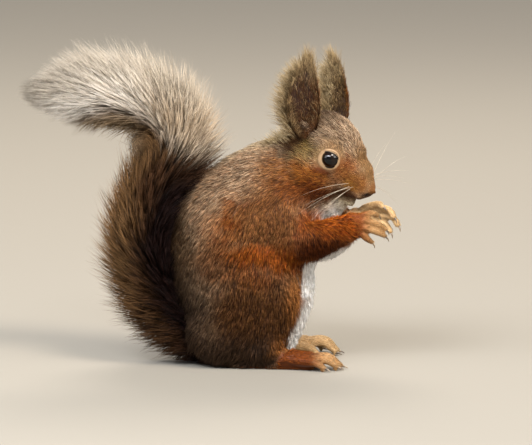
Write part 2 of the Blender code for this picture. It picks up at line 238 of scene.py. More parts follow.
# skin
skinShape = {
    "voxel": 0.5,  # mm
    "faces": 115000,
    "swell": {"hand": 0.3, "foot": 0.3},  # mm out before the nodes melt together,
    "swellElse": 0.75,  # and all the others
    "beads": 44, "beadExtra": 0.3,  # balls along each finger, and how much thicker they are, mm
    "insetSteps": 10, "floorGap": 0.02,
    "depth": {  # how far the skin lies under the tips of the coat, mm
        "head": 1.15, "neck": 2.6, "chest": 2.7, "belly": 2.7, "haunch": 3.0,
        "upper_arm": 2.2, "forearm": 1.5, "hand": 0.25, "foot": 0.3,
    },
}
fingers = {  # bones of each finger and toe in mm, with how thick each part is
    "hand": (2.3, 2.25, 2.0, 1.55), "foot": (3.0, 3.0, 2.7, 1.7),
    "hand_right": [
        [(68, -19, 85), (71, -19, 87.5), (78, -18, 89.5), (81.5, -15.5, 88)],
        [(68, -20, 84), (73, -20.5, 85.5), (81, -20.5, 83.8), (86.0, -18, 80.5)],
        [(68, -20.5, 82), (73, -21, 82), (80.5, -21.5, 79.5), (85.6, -19.5, 76.8)],
        [(67, -20, 80), (71, -20.5, 79), (75.5, -21.5, 75.6), (78.2, -20.5, 73.4)],
    ],
    "hand_left": [
        [(72, -3, 88), (76, -4.5, 91), (82, -7, 93.4), (85, -10.5, 92.2)],
        [(73, -3, 87), (79, -4, 89.5), (87.5, -6.5, 90.5), (91, -10.5, 86.5)],
        [(74, -3, 85), (80, -4, 86), (90, -6.5, 85.8), (93.3, -10.5, 81.8)],
        [(73, -3, 83), (79, -4, 82.5), (86.5, -6, 81.5), (89, -10, 78)],
    ],
    "foot_right": [
        [(33, -20, 6), (38, -19, 4.8), (44, -17.5, 4.2), (47.4, -17, 2.4)],
        [(38, -22, 6.6), (44, -21, 6.0), (53, -20.5, 6.4), (58.3, -20.5, 2.8)],
        [(38, -24, 7), (45, -24, 6.4), (54, -24.5, 6.6), (60.3, -25, 2.8)],
        [(37, -26, 6.6), (44, -27, 6.0), (52.5, -28.8, 6.0), (58.0, -30.2, 2.8)],
        [(32, -27, 6), (38, -28.5, 5.2), (46, -32, 5.0), (50.6, -34, 2.6)],
    ],
    "foot_left": [
        [(31, 22.5, 6), (36, 21.5, 5.4), (43, 19, 5), (47.4, 17.5, 2.4)],
        [(36, 24.5, 7), (42, 24, 6.8), (51.5, 22.5, 7.6), (57.8, 21, 2.8)],
        [(37, 27, 7.4), (43, 27, 7.2), (52.5, 27, 8.2), (59.3, 26.5, 2.8)],
        [(36, 29, 7), (42, 30, 6.8), (51, 31.5, 7.8), (56.8, 32, 2.8)],
        [(31, 30, 6.4), (37, 31.5, 6.2), (45.5, 34.5, 6.6), (50.4, 36, 2.6)],
    ],
}
lumps = [  # frame, centre, radii (mm): flesh that fills the creases between the parts
    ("body", (41.5, -7.5, 126), (9.0, 6.0, 9.0)), ("body", (36.5, -9.5, 128), (6.0, 6.0, 8.0)),
    ("body", (56.5, 9.0, 128), (8.0, 5.5, 8.0)),
    ("body", (53, -1, 88), (9.5, 9.5, 11)), ("body", (65, -19.6, 83), (7, 5.5, 7.0)),
    ("body", (70, -2, 84), (7, 5.0, 6.5)), ("body", (57, -1, 93), (9, 9, 8.5)),
    ("body", (41, -10, 135), (7.5, 5.2, 8.0)), ("body", (30, -23, 7), (14, 7, 5.2)),
    ("body", (30, 25.5, 7), (14, 7, 5.4)),
]
pushes = [  # frame, centre, reach (mm), then how far the flesh is eased in or out there, both sides
    ("head", (19.5, 3.5, 7.0), 6.0, (1.7, 0.9, 1.3)), ("head", (26, 5, -2), 6.0, (0.2, 0.4, 0.2)),
    ("head", (8, 9, 15.0), 8.0, (-0.2, -0.2, -0.5)), ("head", (20, 0, -17), 6.5, (-0.6, 0, 1.8)),
    ("head", (13.0, 12.0, 7.6), 3.6, (-0.5, -1.0, -0.2)), ("body", (35, 24, 17), 9.0, (-3.5, 0, 0)),
    ("body", (3, 32, 76), 6.0, (0, -1.3, 0.3)), ("body", (10, 32, 78), 6.0, (0, -1.6, 0.3)),
    ("body", (17, 31, 78), 6.0, (0, -1.6, 0.3)), ("body", (24, 30, 75), 6.0, (0, -1.5, 0.3)),
    ("body", (6, 32, 66), 6.5, (0, 1.0, 0.3)), ("body", (14, 32, 68), 6.5, (0, 1.3, 0.5)),
    ("body", (22, 31, 66), 6.5, (0.2, 1.3, 0.5)), ("body", (29, 29, 60), 6.5, (0.6, 1.2, 0.4)),
]
eased = {"centre": (12.5, 11.5, 7.5), "reach": 4.5, "rounds": 14}  # head frame: the brow is evened there
fleshNodes = sorted(n for n in nodes if not n.startswith(("eye", "claw", "tail", "ear")))
eyeNodes = ["eye_left", "eye_right"]
earNodes, tailNodes = ["ear_left", "ear_right"], sorted(n for n in nodes if n.startswith("tail"))
regionNames = fleshNodes + earNodes + ["tail", "lid"]
regionOf = {name: i for i, name in enumerate(regionNames)}


def regionPart(name):
    return name.replace("_left", "").replace("_right", "")


partNames = np.array([regionPart(n) for n in regionNames])  # the part that each region is on


def nodeCopy(name, node, swell=0.0):
    copy = bpy.data.objects.new(name, nodes[node].data.copy())
    copy.data.materials.clear()
    bpy.context.collection.objects.link(copy)
    pickOnly(copy)
    bpy.ops.object.mode_set(mode="EDIT")
    bpy.ops.mesh.select_all(action="SELECT")
    bpy.ops.mesh.remove_doubles(threshold=0.00001)
    bpy.ops.object.mode_set(mode="OBJECT")
    if swell:
        applyModifier(copy, "DISPLACE", strength=swell * mm, mid_level=0.0)
    return copy


def joinInto(first, rest):
    pickOnly(first)
    for obj in rest:
        obj.select_set(True)
    bpy.ops.object.join()
    return first


# many balls or egg shapes as one mesh
def lumpsMesh(name, places, radii):
    bpy.ops.mesh.primitive_ico_sphere_add(subdivisions=3, radius=1, location=(0, 0, 0))
    ball = bpy.context.object
    shape = np.array([v.co[:] for v in ball.data.vertices])
    sides = np.array([p.vertices[:] for p in ball.data.polygons])
    bpy.data.objects.remove(ball)
    points = places[:, None] + shape[None] * radii[:, None]
    faces = sides[None] + (np.arange(len(places)) * len(shape))[:, None, None]
    return meshObject(name, points.reshape(-1, 3), faces.ravel(), np.full(len(places) * len(sides), 3))


# a search that gives the flesh node whose surface is nearest to a point
def nearestRegion():
    places, corners, owners = [], [], []
    for name in fleshNodes:
        points, triangles = meshArrays(nodes[name])
        corners.append(triangles + len(places))
        places.extend(points.tolist())
        owners += [regionOf[name]] * len(triangles)
    tree = BVHTree.FromPolygons(places, np.concatenate(corners).tolist())
    return lambda points: np.array([owners[tree.find_nearest(p)[2]] for p in points])


print("skin: melting the flesh nodes into one")
swellOf = {n: skinShape["swell"].get(regionPart(n), skinShape["swellElse"]) for n in fleshNodes}
parts = [nodeCopy("flesh_" + n, n, swellOf[n]) for n in fleshNodes]
parts += [nodeCopy("flesh_" + n, n, skinShape["swellElse"]) for n in eyeNodes]
beads, beadSizes = [], []
for limb in ("hand_right", "hand_left", "foot_right", "foot_left"):
    thick = fingers[regionPart(limb)]
    for bones in fingers[limb]:
        line, _ = splinePoints([(*p, t) for p, t in zip(bones, thick)], skinShape["beads"])
        beads.append(line[:, :3])
        beadSizes.append(np.repeat(line[:, 3:4] + skinShape["beadExtra"], 3, axis=1))
for space, centre, radii in lumps:
    centre = np.array([centre], float)
    beads.append(centre if space == "body" else fromHead(centre))
    beadSizes.append(np.array([radii], float))
parts.append(lumpsMesh("flesh_lumps", np.vstack(beads), np.vstack(beadSizes)))
skinStart = joinInto(parts[0], parts[1:])
applyModifier(skinStart, "REMESH", mode="VOXEL", voxel_size=skinShape["voxel"] * mm)
bpy.ops.object.mode_set(mode="EDIT")
bpy.ops.mesh.select_all(action="DESELECT")
bpy.ops.object.mode_set(mode="OBJECT")
top = max(skinStart.data.vertices, key=lambda v: v.co.z)
top.select = True
bpy.ops.object.mode_set(mode="EDIT")
bpy.ops.mesh.select_mode(type="VERT")
bpy.ops.mesh.select_linked()
bpy.ops.mesh.select_all(action="INVERT")
bpy.ops.mesh.delete(type="VERT")
bpy.ops.object.mode_set(mode="OBJECT")
points, corners = meshArrays(skinStart)
print("skin: melted", len(corners), "triangles")
findRegion = nearestRegion()
pairs = edgePairs(corners)
region = findRegion(points)
partDepth = np.array([skinShape["depth"].get(n, 0) for n in partNames])
partSwell = np.array([swellOf.get(n, 0.0) for n in regionNames])
depth = blurred((partDepth + partSwell)[region], pairs, 40)
muzzle = smoothStep(toHead(points)[:, 0], 12, 26) * (region == regionOf["head"])
depth = depth - 0.6 * muzzle
evening = np.clip((depth - 0.4) / 2.5, 0.04, 1)  # thin hands and feet are evened less
sole = points[:, 2] < 1.1
heights = points[:, 2].copy()
points = blurred(points, pairs, 6, 0.5 * evening)
for _ in range(skinShape["insetSteps"]):
    points = points - pointNormals(points, corners) * (depth / skinShape["insetSteps"])[:, None]
    points = blurred(points, pairs, 1, 0.4 * evening)
for space, centre, reach, push in pushes:
    sided = toHead(points) if space == "head" else points.copy()
    half = np.where(sided[:, 1:2] < 0, [[1.0, -1.0, 1.0]], [[1.0, 1.0, 1.0]])
    away = np.linalg.norm(sided * half - np.array(centre), axis=1) / reach
    moved = sided + np.array(push) * half * np.exp(-(away**2))[:, None]
    points = fromHead(moved) if space == "head" else moved
sided = toHead(points)
sided[:, 1] = np.abs(sided[:, 1])
away = np.linalg.norm(sided - np.array(eased["centre"]), axis=1) / eased["reach"]
points = blurred(points, pairs, eased["rounds"], 0.5 * np.exp(-(away**2)))
paw = np.isin(region, [regionOf[n] for n in fleshNodes if n.startswith("foot")])
points[:, 2] = np.where(paw & sole, heights - skinShape["swell"]["foot"], points[:, 2])
points[:, 2] = np.maximum(points[:, 2], skinShape["floorGap"])
setPoints(skinStart, points)
keepFine = np.clip(smoothStep(depth, 1.8, 2.8), 0.02, 1)
group = skinStart.vertex_groups.new(name="coarse")
weightSteps = 10
for level in range(1, weightSteps + 1):
    chosen = np.nonzero(np.ceil(keepFine * weightSteps) == level)[0].tolist()
    group.add(chosen, level / weightSteps, "REPLACE")
applyModifier(
    skinStart, "DECIMATE", ratio=min(1.0, skinShape["faces"] / len(corners)), vertex_group="coarse"
)

# a finer mesh where the nose and lips are cut in
faceDetail = {
    "muzzleFrom": 17.0, "muzzleLow": -19, "muzzleHalf": 13,  # head frame, mm
    "nostril": [(29.3, 3.1, -4.6), (28.4, 3.7, -5.4), (27.4, 4.1, -6.3), (26.6, 4.3, -6.7)],
    "lips": [(29.6, 0, -9.6), (27.6, 3.6, -10.6), (24.0, 6.4, -11.4), (19.0, 9.4, -12.2),
             (14.0, 12.4, -13.4)],
    "cleft": [(31.6, 0, -4.4), (31.0, 0, -7.2), (29.6, 0, -9.8)],
}
points, corners = meshArrays(skinStart)
print("skin: flesh has", len(corners), "triangles")
inHead = toHead(points)
nearMuzzle = (
    (inHead[:, 0] > faceDetail["muzzleFrom"]) & (inHead[:, 2] > faceDetail["muzzleLow"])
    & (np.abs(inHead[:, 1]) < faceDetail["muzzleHalf"])
)
pickOnly(skinStart)
bpy.ops.object.mode_set(mode="EDIT")
bpy.ops.mesh.select_all(action="DESELECT")
bpy.ops.mesh.select_mode(type="FACE")
bpy.ops.object.mode_set(mode="OBJECT")
for polygon in skinStart.data.polygons:
    if nearMuzzle[list(polygon.vertices)].all():
        polygon.select = True
bpy.ops.object.mode_set(mode="EDIT")
bpy.ops.mesh.subdivide(number_cuts=1)
bpy.ops.mesh.quads_convert_to_tris()
bpy.ops.object.mode_set(mode="OBJECT")
points, corners = meshArrays(skinStart)
normals = pointNormals(points, corners)
inHead = toHead(points)


# how deep each place lies in a groove that follows the line on both sides of the head
def grooveDepth(places, line, width, depth, mirrored=True):
    path, _ = splinePoints(line, 24)
    sided = places.copy()
    if mirrored:
        sided[:, 1] = np.abs(sided[:, 1])
    near = np.full(len(places), 1e9)
    for point in path:
        near = np.minimum(near, np.linalg.norm(sided - point, axis=1))
    return depth * np.exp(-((near / width) ** 2))


groove = grooveDepth(inHead, faceDetail["nostril"], 0.7, 1.4)
groove = np.maximum(groove, grooveDepth(inHead, faceDetail["lips"], 0.9, 1.2))
groove = np.maximum(groove, grooveDepth(inHead, faceDetail["cleft"], 0.6, 0.6, mirrored=False))
points = points - normals * groove[:, None]
fleshPoints, fleshCorners = points, corners
fleshRegion = findRegion(points)
bpy.data.objects.remove(skinStart)


# triangles over a grid of points, round and round if it wraps
def gridCorners(rows, columns, first=0, wrap=True, flip=False):
    out = []
    for r in range(rows - 1):
        for c in range(columns if wrap else columns - 1):
            a, b = first + r * columns + c, first + r * columns + (c + 1) % columns
            d, e = a + columns, b + columns
            out += [(a, d, b), (b, d, e)] if flip else [(a, b, d), (b, e, d)]
    return np.array(out)


# lids
lidShape = {
    "halfOpen": (77, 55),  # degrees from the gaze, along and across the eye
    "tilt": 20,  # of the long way of the eye, degrees up at the nose
    "corner": (9, -8),  # extra opening at the front corner and where it is, degrees
    "heights": (0.36, 0.50), "toe": 6.3,  # mm over the ball, and how far out it meets the skin
    "around": 72, "across": 18,
}


# centre, gaze, forward and up of an eye, in the sketch frame
def eyeAxes(side):
    mirror = np.array([1, side, 1])
    centre = fromHead(np.array([np.array(eyeBall["place"]) * mirror]))[0]
    gaze = headTurn @ unit(np.array(eyeBall["gaze"]) * mirror)
    forward = headTurn @ np.array([1.0, 0, 0])
    forward = unit(forward - gaze * (forward @ gaze))
    up = unit(headTurn @ np.array([0, 0, 1.0]))
    up = unit(up - gaze * (up @ gaze) - forward * (up @ forward))
    return centre, gaze, forward, up


# how far places lie out from the line of an eye's gaze, as vectors and in mm, and how far along it
def roundEye(places, side):
    centre, gaze, _, _ = eyeAxes(side)
    away = places - centre
    high = away @ gaze
    flat = away - np.outer(high, gaze)
    return flat, np.linalg.norm(flat, axis=1), high


def lidGrid(side, tree):
    centre, gaze, forward, up = eyeAxes(side)
    radius = eyeBall["radius"]
    rows = []
    turns = np.linspace(0, 2 * math.pi, lidShape["around"], endpoint=False)
    for turn in turns:
        tilted = turn - math.radians(lidShape["tilt"])
        wide, high = lidShape["halfOpen"]
        opening = 1 / math.hypot(math.cos(tilted) / wide, math.sin(tilted) / high)
        extra, corner = lidShape["corner"]
        opening += extra * max(0.0, math.cos(turn - math.radians(corner))) ** 10
        out = forward * math.cos(turn) + up * math.sin(turn)

        def onBall(height, angle):
            a = math.radians(angle)
            return centre + (radius + height) * (gaze * math.cos(a) + out * math.sin(a))

        def onSkin(away, lift):
            start = centre + out * away + gaze * 16
            hit = tree.ray_cast(Vector(start), Vector(-gaze), 22)[0]
            reach = (np.array(hit) - centre) @ gaze if hit else 0.0
            return centre + out * away + gaze * (reach + lift)

        toe = lidShape["toe"]
        rows.append([
            onBall(-0.5, opening + 3), onBall(0.06, opening - 1.5), onBall(0.32, opening - 1.5),
            onBall(lidShape["heights"][0], opening + 2.5), onBall(lidShape["heights"][1], opening + 8),
            0.5 * onBall(lidShape["heights"][1], opening + 14) + 0.5 * onSkin(toe - 0.9, 0.5),
            onSkin(toe - 0.3, 0.15), onSkin(toe + 0.8, -1.0),
        ])
    fine = np.stack([splinePoints(line, lidShape["across"])[0] for line in np.array(rows)])
    return fine.transpose(1, 0, 2).reshape(-1, 3)


skinTree = BVHTree.FromPolygons(fleshPoints.tolist(), fleshCorners.tolist())
allPoints, allCorners, allRegion = [fleshPoints], [fleshCorners], [fleshRegion]


def addToSkin(points, corners, name):
    allCorners.append(corners + sum(len(p) for p in allPoints))
    allPoints.append(points)
    allRegion.append(np.full(len(points), regionOf[name]))


for side in (1, -1):
    lidCorners = gridCorners(lidShape["across"], lidShape["around"], flip=side > 0)
    addToSkin(lidGrid(side, skinTree), lidCorners, "lid")

# ears
earShape = {
    "ear_right": {
        "line": [(39.2, -13.0, 130.5, 2.2), (39.4, -13.8, 134.5, 5.2), (39.5, -14.6, 139, 7.7),
                 (39.4, -15.3, 147, 9.2), (39.6, -15.2, 157, 8.4), (40.6, -14.0, 166, 5.8),
                 (41.8, -12.6, 173, 1.4)],
        "opens": (-0.12, -1, 0.1), "cup": 4.6, "paleFrom": (0.98, 0.78),
    },
    "ear_left": {
        "line": [(56.6, 10.0, 130, 5.6), (58.4, 13.5, 139, 6.6), (59.2, 15.0, 149, 6.6),
                 (59.2, 15.0, 158, 5.4), (58.8, 14.5, 166, 3.4), (58.0, 14.2, 171, 0.8)],
        "opens": (0.3, 0.95, 0.1), "cup": 3.8, "paleFrom": (-0.15, 0.2),
    },
}
earWall, earRows, earColumns = 0.9, 30, 25  # mm, then how finely the ear is divided
earBend = math.radians(78)  # how far round the cup goes to each side


def earFrame(ear):
    line, _ = splinePoints(ear["line"], earRows)
    along = unit(np.gradient(line[:, :3], axis=0))
    opens = unit(np.array(ear["opens"], float))
    across = unit(np.cross(along, opens))
    opens = unit(np.cross(across, along))
    return line[:, :3], line[:, 3], along, across, opens


# a cupped leaf of points, lifted off its own middle surface
def earSheet(ear, lift):
    centre, half, _, across, opens = earFrame(ear)
    out = []
    for r in range(earRows):
        share = r / (earRows - 1)
        cup = ear["cup"] * (1 - share) ** 0.6 * half[r] / 7
        for u in np.linspace(-1, 1, earColumns):
            a = u * earBend
            wide = half[r] * math.sin(a) / math.sin(earBend)
            deep = -cup * (math.cos(a) - math.cos(earBend)) / (1 - math.cos(earBend))
            edge = (1 - u * u) ** 0.25  # the wall thins to a rounded rim
            normal = unit(-opens[r] * math.cos(a) + across[r] * math.sin(a) * 0.6)
            out.append(centre[r] + across[r] * wide + opens[r] * deep + normal * lift * edge)
    return np.array(out)


for name, ear in earShape.items():
    back, front = earSheet(ear, earWall / 2), earSheet(ear, -earWall / 2)
    count = len(back)
    sheets = [gridCorners(earRows, earColumns, 0, wrap=False),
              gridCorners(earRows, earColumns, count, wrap=False, flip=True)]
    rim = []
    edgeOrder = ([r * earColumns for r in range(earRows)]
                 + [(earRows - 1) * earColumns + c for c in range(1, earColumns)]
                 + [r * earColumns + earColumns - 1 for r in range(earRows - 2, -1, -1)]
                 + [c for c in range(earColumns - 2, 0, -1)])
    for a, b in zip(edgeOrder, edgeOrder[1:] + edgeOrder[:1]):
        rim += [(a, b, b + count), (a, b + count, a + count)]
    addToSkin(np.vstack([back, front]), np.vstack(sheets + [np.array(rim)]), name)

# tail
tailShape = {  # the fleshy tail inside the brush, then the brush's own outline
    "core": [(-6, 0, 13), (-17, 0, 12), (-32, 0, 25), (-43, 0, 43), (-50, 0, 63), (-50, 0, 83),
             (-45, 0, 101), (-37, 0, 118), (-37, 0, 133), (-46, 0, 144), (-61, 0, 150.5),
             (-78, 0, 154.5), (-100, 0, 156)],
    "coreRadius": (5.0, 2.2), "pointRadius": 0.2, "pointFrom": 0.92,
    "brush": [  # x, y, z, half thickness in the bend's plane, half width
        (-2, 0, 13, 11, 13), (-12, 0, 13, 13, 15), (-33, 0, 18, 18.5, 20.5), (-51, 0, 36, 22, 26),
        (-56.5, 0, 58, 25, 28), (-55.5, 0, 79, 26, 28.5), (-47.5, 0, 98, 26.5, 28.5),
        (-38.5, 0, 114, 27, 28.5), (-31.5, 0, 128, 29, 28), (-33.5, 0, 143, 29, 27),
        (-48, 0, 156, 28, 27), (-72, 0, 160.5, 27, 26.5), (-92, 0, 160, 24, 23),
        (-106, 0, 158.5, 17.0, 17), (-120, 0, 157.5, 8.0, 8),
    ],
    # the back's rear edge, which the brush does not pass
    "backZ": (10, 27, 45, 62, 79, 97, 108, 118, 125, 132),
    "backX": (-22, -27, -33, -38.5, -38.5, -33.5, -27, -18, -8, 30),
}
corePath, _ = splinePoints(tailShape["core"], 140)
brushPath, brushLength = splinePoints(tailShape["brush"], 200)


def planeFrame(path):
    along = unit(np.gradient(path[:, :3], axis=0))
    across = np.tile([0.0, 1.0, 0.0], (len(path), 1))
    return along, unit(np.cross(across, along)), across


coreAlong, coreOut, coreAcross = planeFrame(corePath)
coreSides = 20
turns = np.linspace(0, 2 * math.pi, coreSides, endpoint=False)


def coreRadiusAt(share):
    stops = (0, tailShape["pointFrom"], 1)
    return np.interp(share, stops, (*tailShape["coreRadius"], tailShape["pointRadius"]))


coreRadii = coreRadiusAt(np.linspace(0, 1, len(corePath)))
coreGrid = (
    corePath[:, None, :3]
    + coreRadii[:, None, None] * (np.cos(turns)[None, :, None] * coreOut[:, None]
                                  + np.sin(turns)[None, :, None] * coreAcross[:, None])
)
tailPoints = coreGrid.reshape(-1, 3)
tailPoints[:, 2] = np.maximum(tailPoints[:, 2], 0.5)
tailCorners = gridCorners(len(corePath), coreSides)
ends = np.array([corePath[0, :3], corePath[-1, :3]])
caps = [(len(tailPoints), (c + 1) % coreSides, c) for c in range(coreSides)]
last = (len(corePath) - 1) * coreSides
caps += [(len(tailPoints) + 1, last + c, last + (c + 1) % coreSides) for c in range(coreSides)]
addToSkin(np.vstack([tailPoints, ends]), np.vstack([tailCorners, np.array(caps)]), "tail")

skinPoints = np.vstack(allPoints)
skinCorners = np.vstack(allCorners)
skinRegion = np.concatenate(allRegion)
skinNormals = pointNormals(skinPoints, skinCorners)
skinPart = partNames[skinRegion]
skinPairs = edgePairs(skinCorners)
print("skin:", len(skinCorners), "triangles")

# colours of the coat
tones = {  # root, middle and tip of a lock, then how mixed its hairs are
    "back": ("3a2616", "98785a", "d4bc9e", 0.75),
    "nape": ("543e2a", "ae9878", "dccaac", 0.6),
    "flank": ("321c0a", "8c542a", "c68c50", 0.7),
    "shoulder": ("2e1c0a", "724828", "b0804c", 0.7),
    "lowFlank": ("251407", "63371a", "96602f", 0.7),
    "rear": ("160c04", "46321e", "685038", 0.6),
    # painted shade: the rump below the tail, near-black for the tail's shadow on it
    "rump": ("080402", "20150d", "3a291b", 0.4),
    "rust": ("2e1003", "7c3b0e", "aa6722", 0.6),
    "thigh": ("1a0c05", "4e3019", "76502c", 0.75),
    # painted shade: the low thigh, darker towards the floor
    "thighLow": ("0e0805", "33241a", "573f2c", 0.7),
    "knee": ("321806", "8a5426", "b88046", 0.6),
    "white": ("e4dccc", "fafafa", "fcfcfc", 0.15),
    "cream": ("a08a68", "d0bd98", "e8dcc0", 0.3),
    "arm": ("280f04", "80492a", "b47a48", 0.7),
    # painted shade in the crease under the elbow
    "elbow": ("120602", "3c1a0c", "5e3018", 0.4),
    "forearm": ("2e1003", "863c0c", "b26a26", 0.6),
    # painted shade on the lower side of the arm
    "forearmLow": ("140600", "3a1602", "5c2e08", 0.4),
    "crown": ("3a2614", "8c704e", "c8ac8c", 1.0),
    "forehead": ("3a2816", "886c4e", "c0a688", 1.0),
    "brow": ("36200e", "7d5c39", "b08c60", 0.95),
    "bridge": ("321c0a", "7a5830", "a07e54", 0.95),
    "redZone": ("301406", "8a4c1a", "b87638", 0.8),
    "olive": ("2e1c0a", "7c5c30", "a88e54", 0.85),
    "yellow": ("35200a", "85661f", "b89c4c", 0.7),
    "cheek": ("2a1002", "7c4010", "a8661c", 0.7),
    "cheekLow": ("1e0a02", "5e2506", "8a4410", 0.65),
    "jaw": ("2a1206", "6e3812", "a0622e", 0.65),
    "pad": ("301806", "865418", "b88236", 0.8),
    "muzzle": ("341a06", "7c4810", "a66e24", 0.85),
    "noseDark": ("120804", "341808", "522c0e", 0.3),
    "lip": ("180802", "4a240c", "744620", 0.3),
    "eyeRing": ("8a6a48", "bd9c76", "d0b28e", 0.15),
    "earDark": ("100602", "321a0c", "503216", 0.5),
    "earMid": ("1e1008", "543e26", "8a7450", 0.6),
    "fringe": ("4a3824", "8e7a58", "b6a482", 0.4),
    "earTuft": ("2c2012", "68563c", "9a8662", 0.5),
    # painted shade, near-black, deep in the ear's cup at its base
    "earHole": ("060200", "100500", "200a02", 0.2),
    "earBack": ("0e0602", "2c1c0c", "4e3a1c", 0.5),
    "neckSide": ("2c1608", "845226", "b88248", 0.7),
    "foot": ("260c01", "683108", "94501c", 0.6),
    "toes": ("704a24", "c49660", "e4c69a", 0.35),
    "hand": ("3e2008", "844a1a", "a4703a", 0.4),
    "fingers": ("6c4624", "b68c5a", "debe8e", 0.35),
    "tailBrown": ("0d0602", "3d2a17", "6a4e30", 0.5),
    # painted shade on the brush: its side against the back and its root
    "tailDark": ("080401", "25170a", "40291a", 0.5),
    "tailUnder": ("3a2c1e", "78634a", "9a8468", 0.45),
    # painted light: the paws of the far side, paler than the near ones
    "farFingers": ("8a6844", "dab480", "f2d8aa", 0.3),
    # painted shade: the top of the curl, darker against the light from above, and darker towards the tip
    "tailCrest": ("5e5446", "8c8273", "a69b8a", 0.4),
    # painted shadow, near-black, in the gap between the low brush and the back
    "tailFront": ("040201", "0f0704", "1c0f08", 0.4),
    "tailBend": ("5a4a3a", "8a7862", "a8967e", 0.35),
    "tailCream": ("968b7e", "c0b6a8", "d8cfc2", 0.3),
}
toneRows = {name: (*[toLinear(c) for c in row[:3]], row[3]) for name, row in tones.items()}
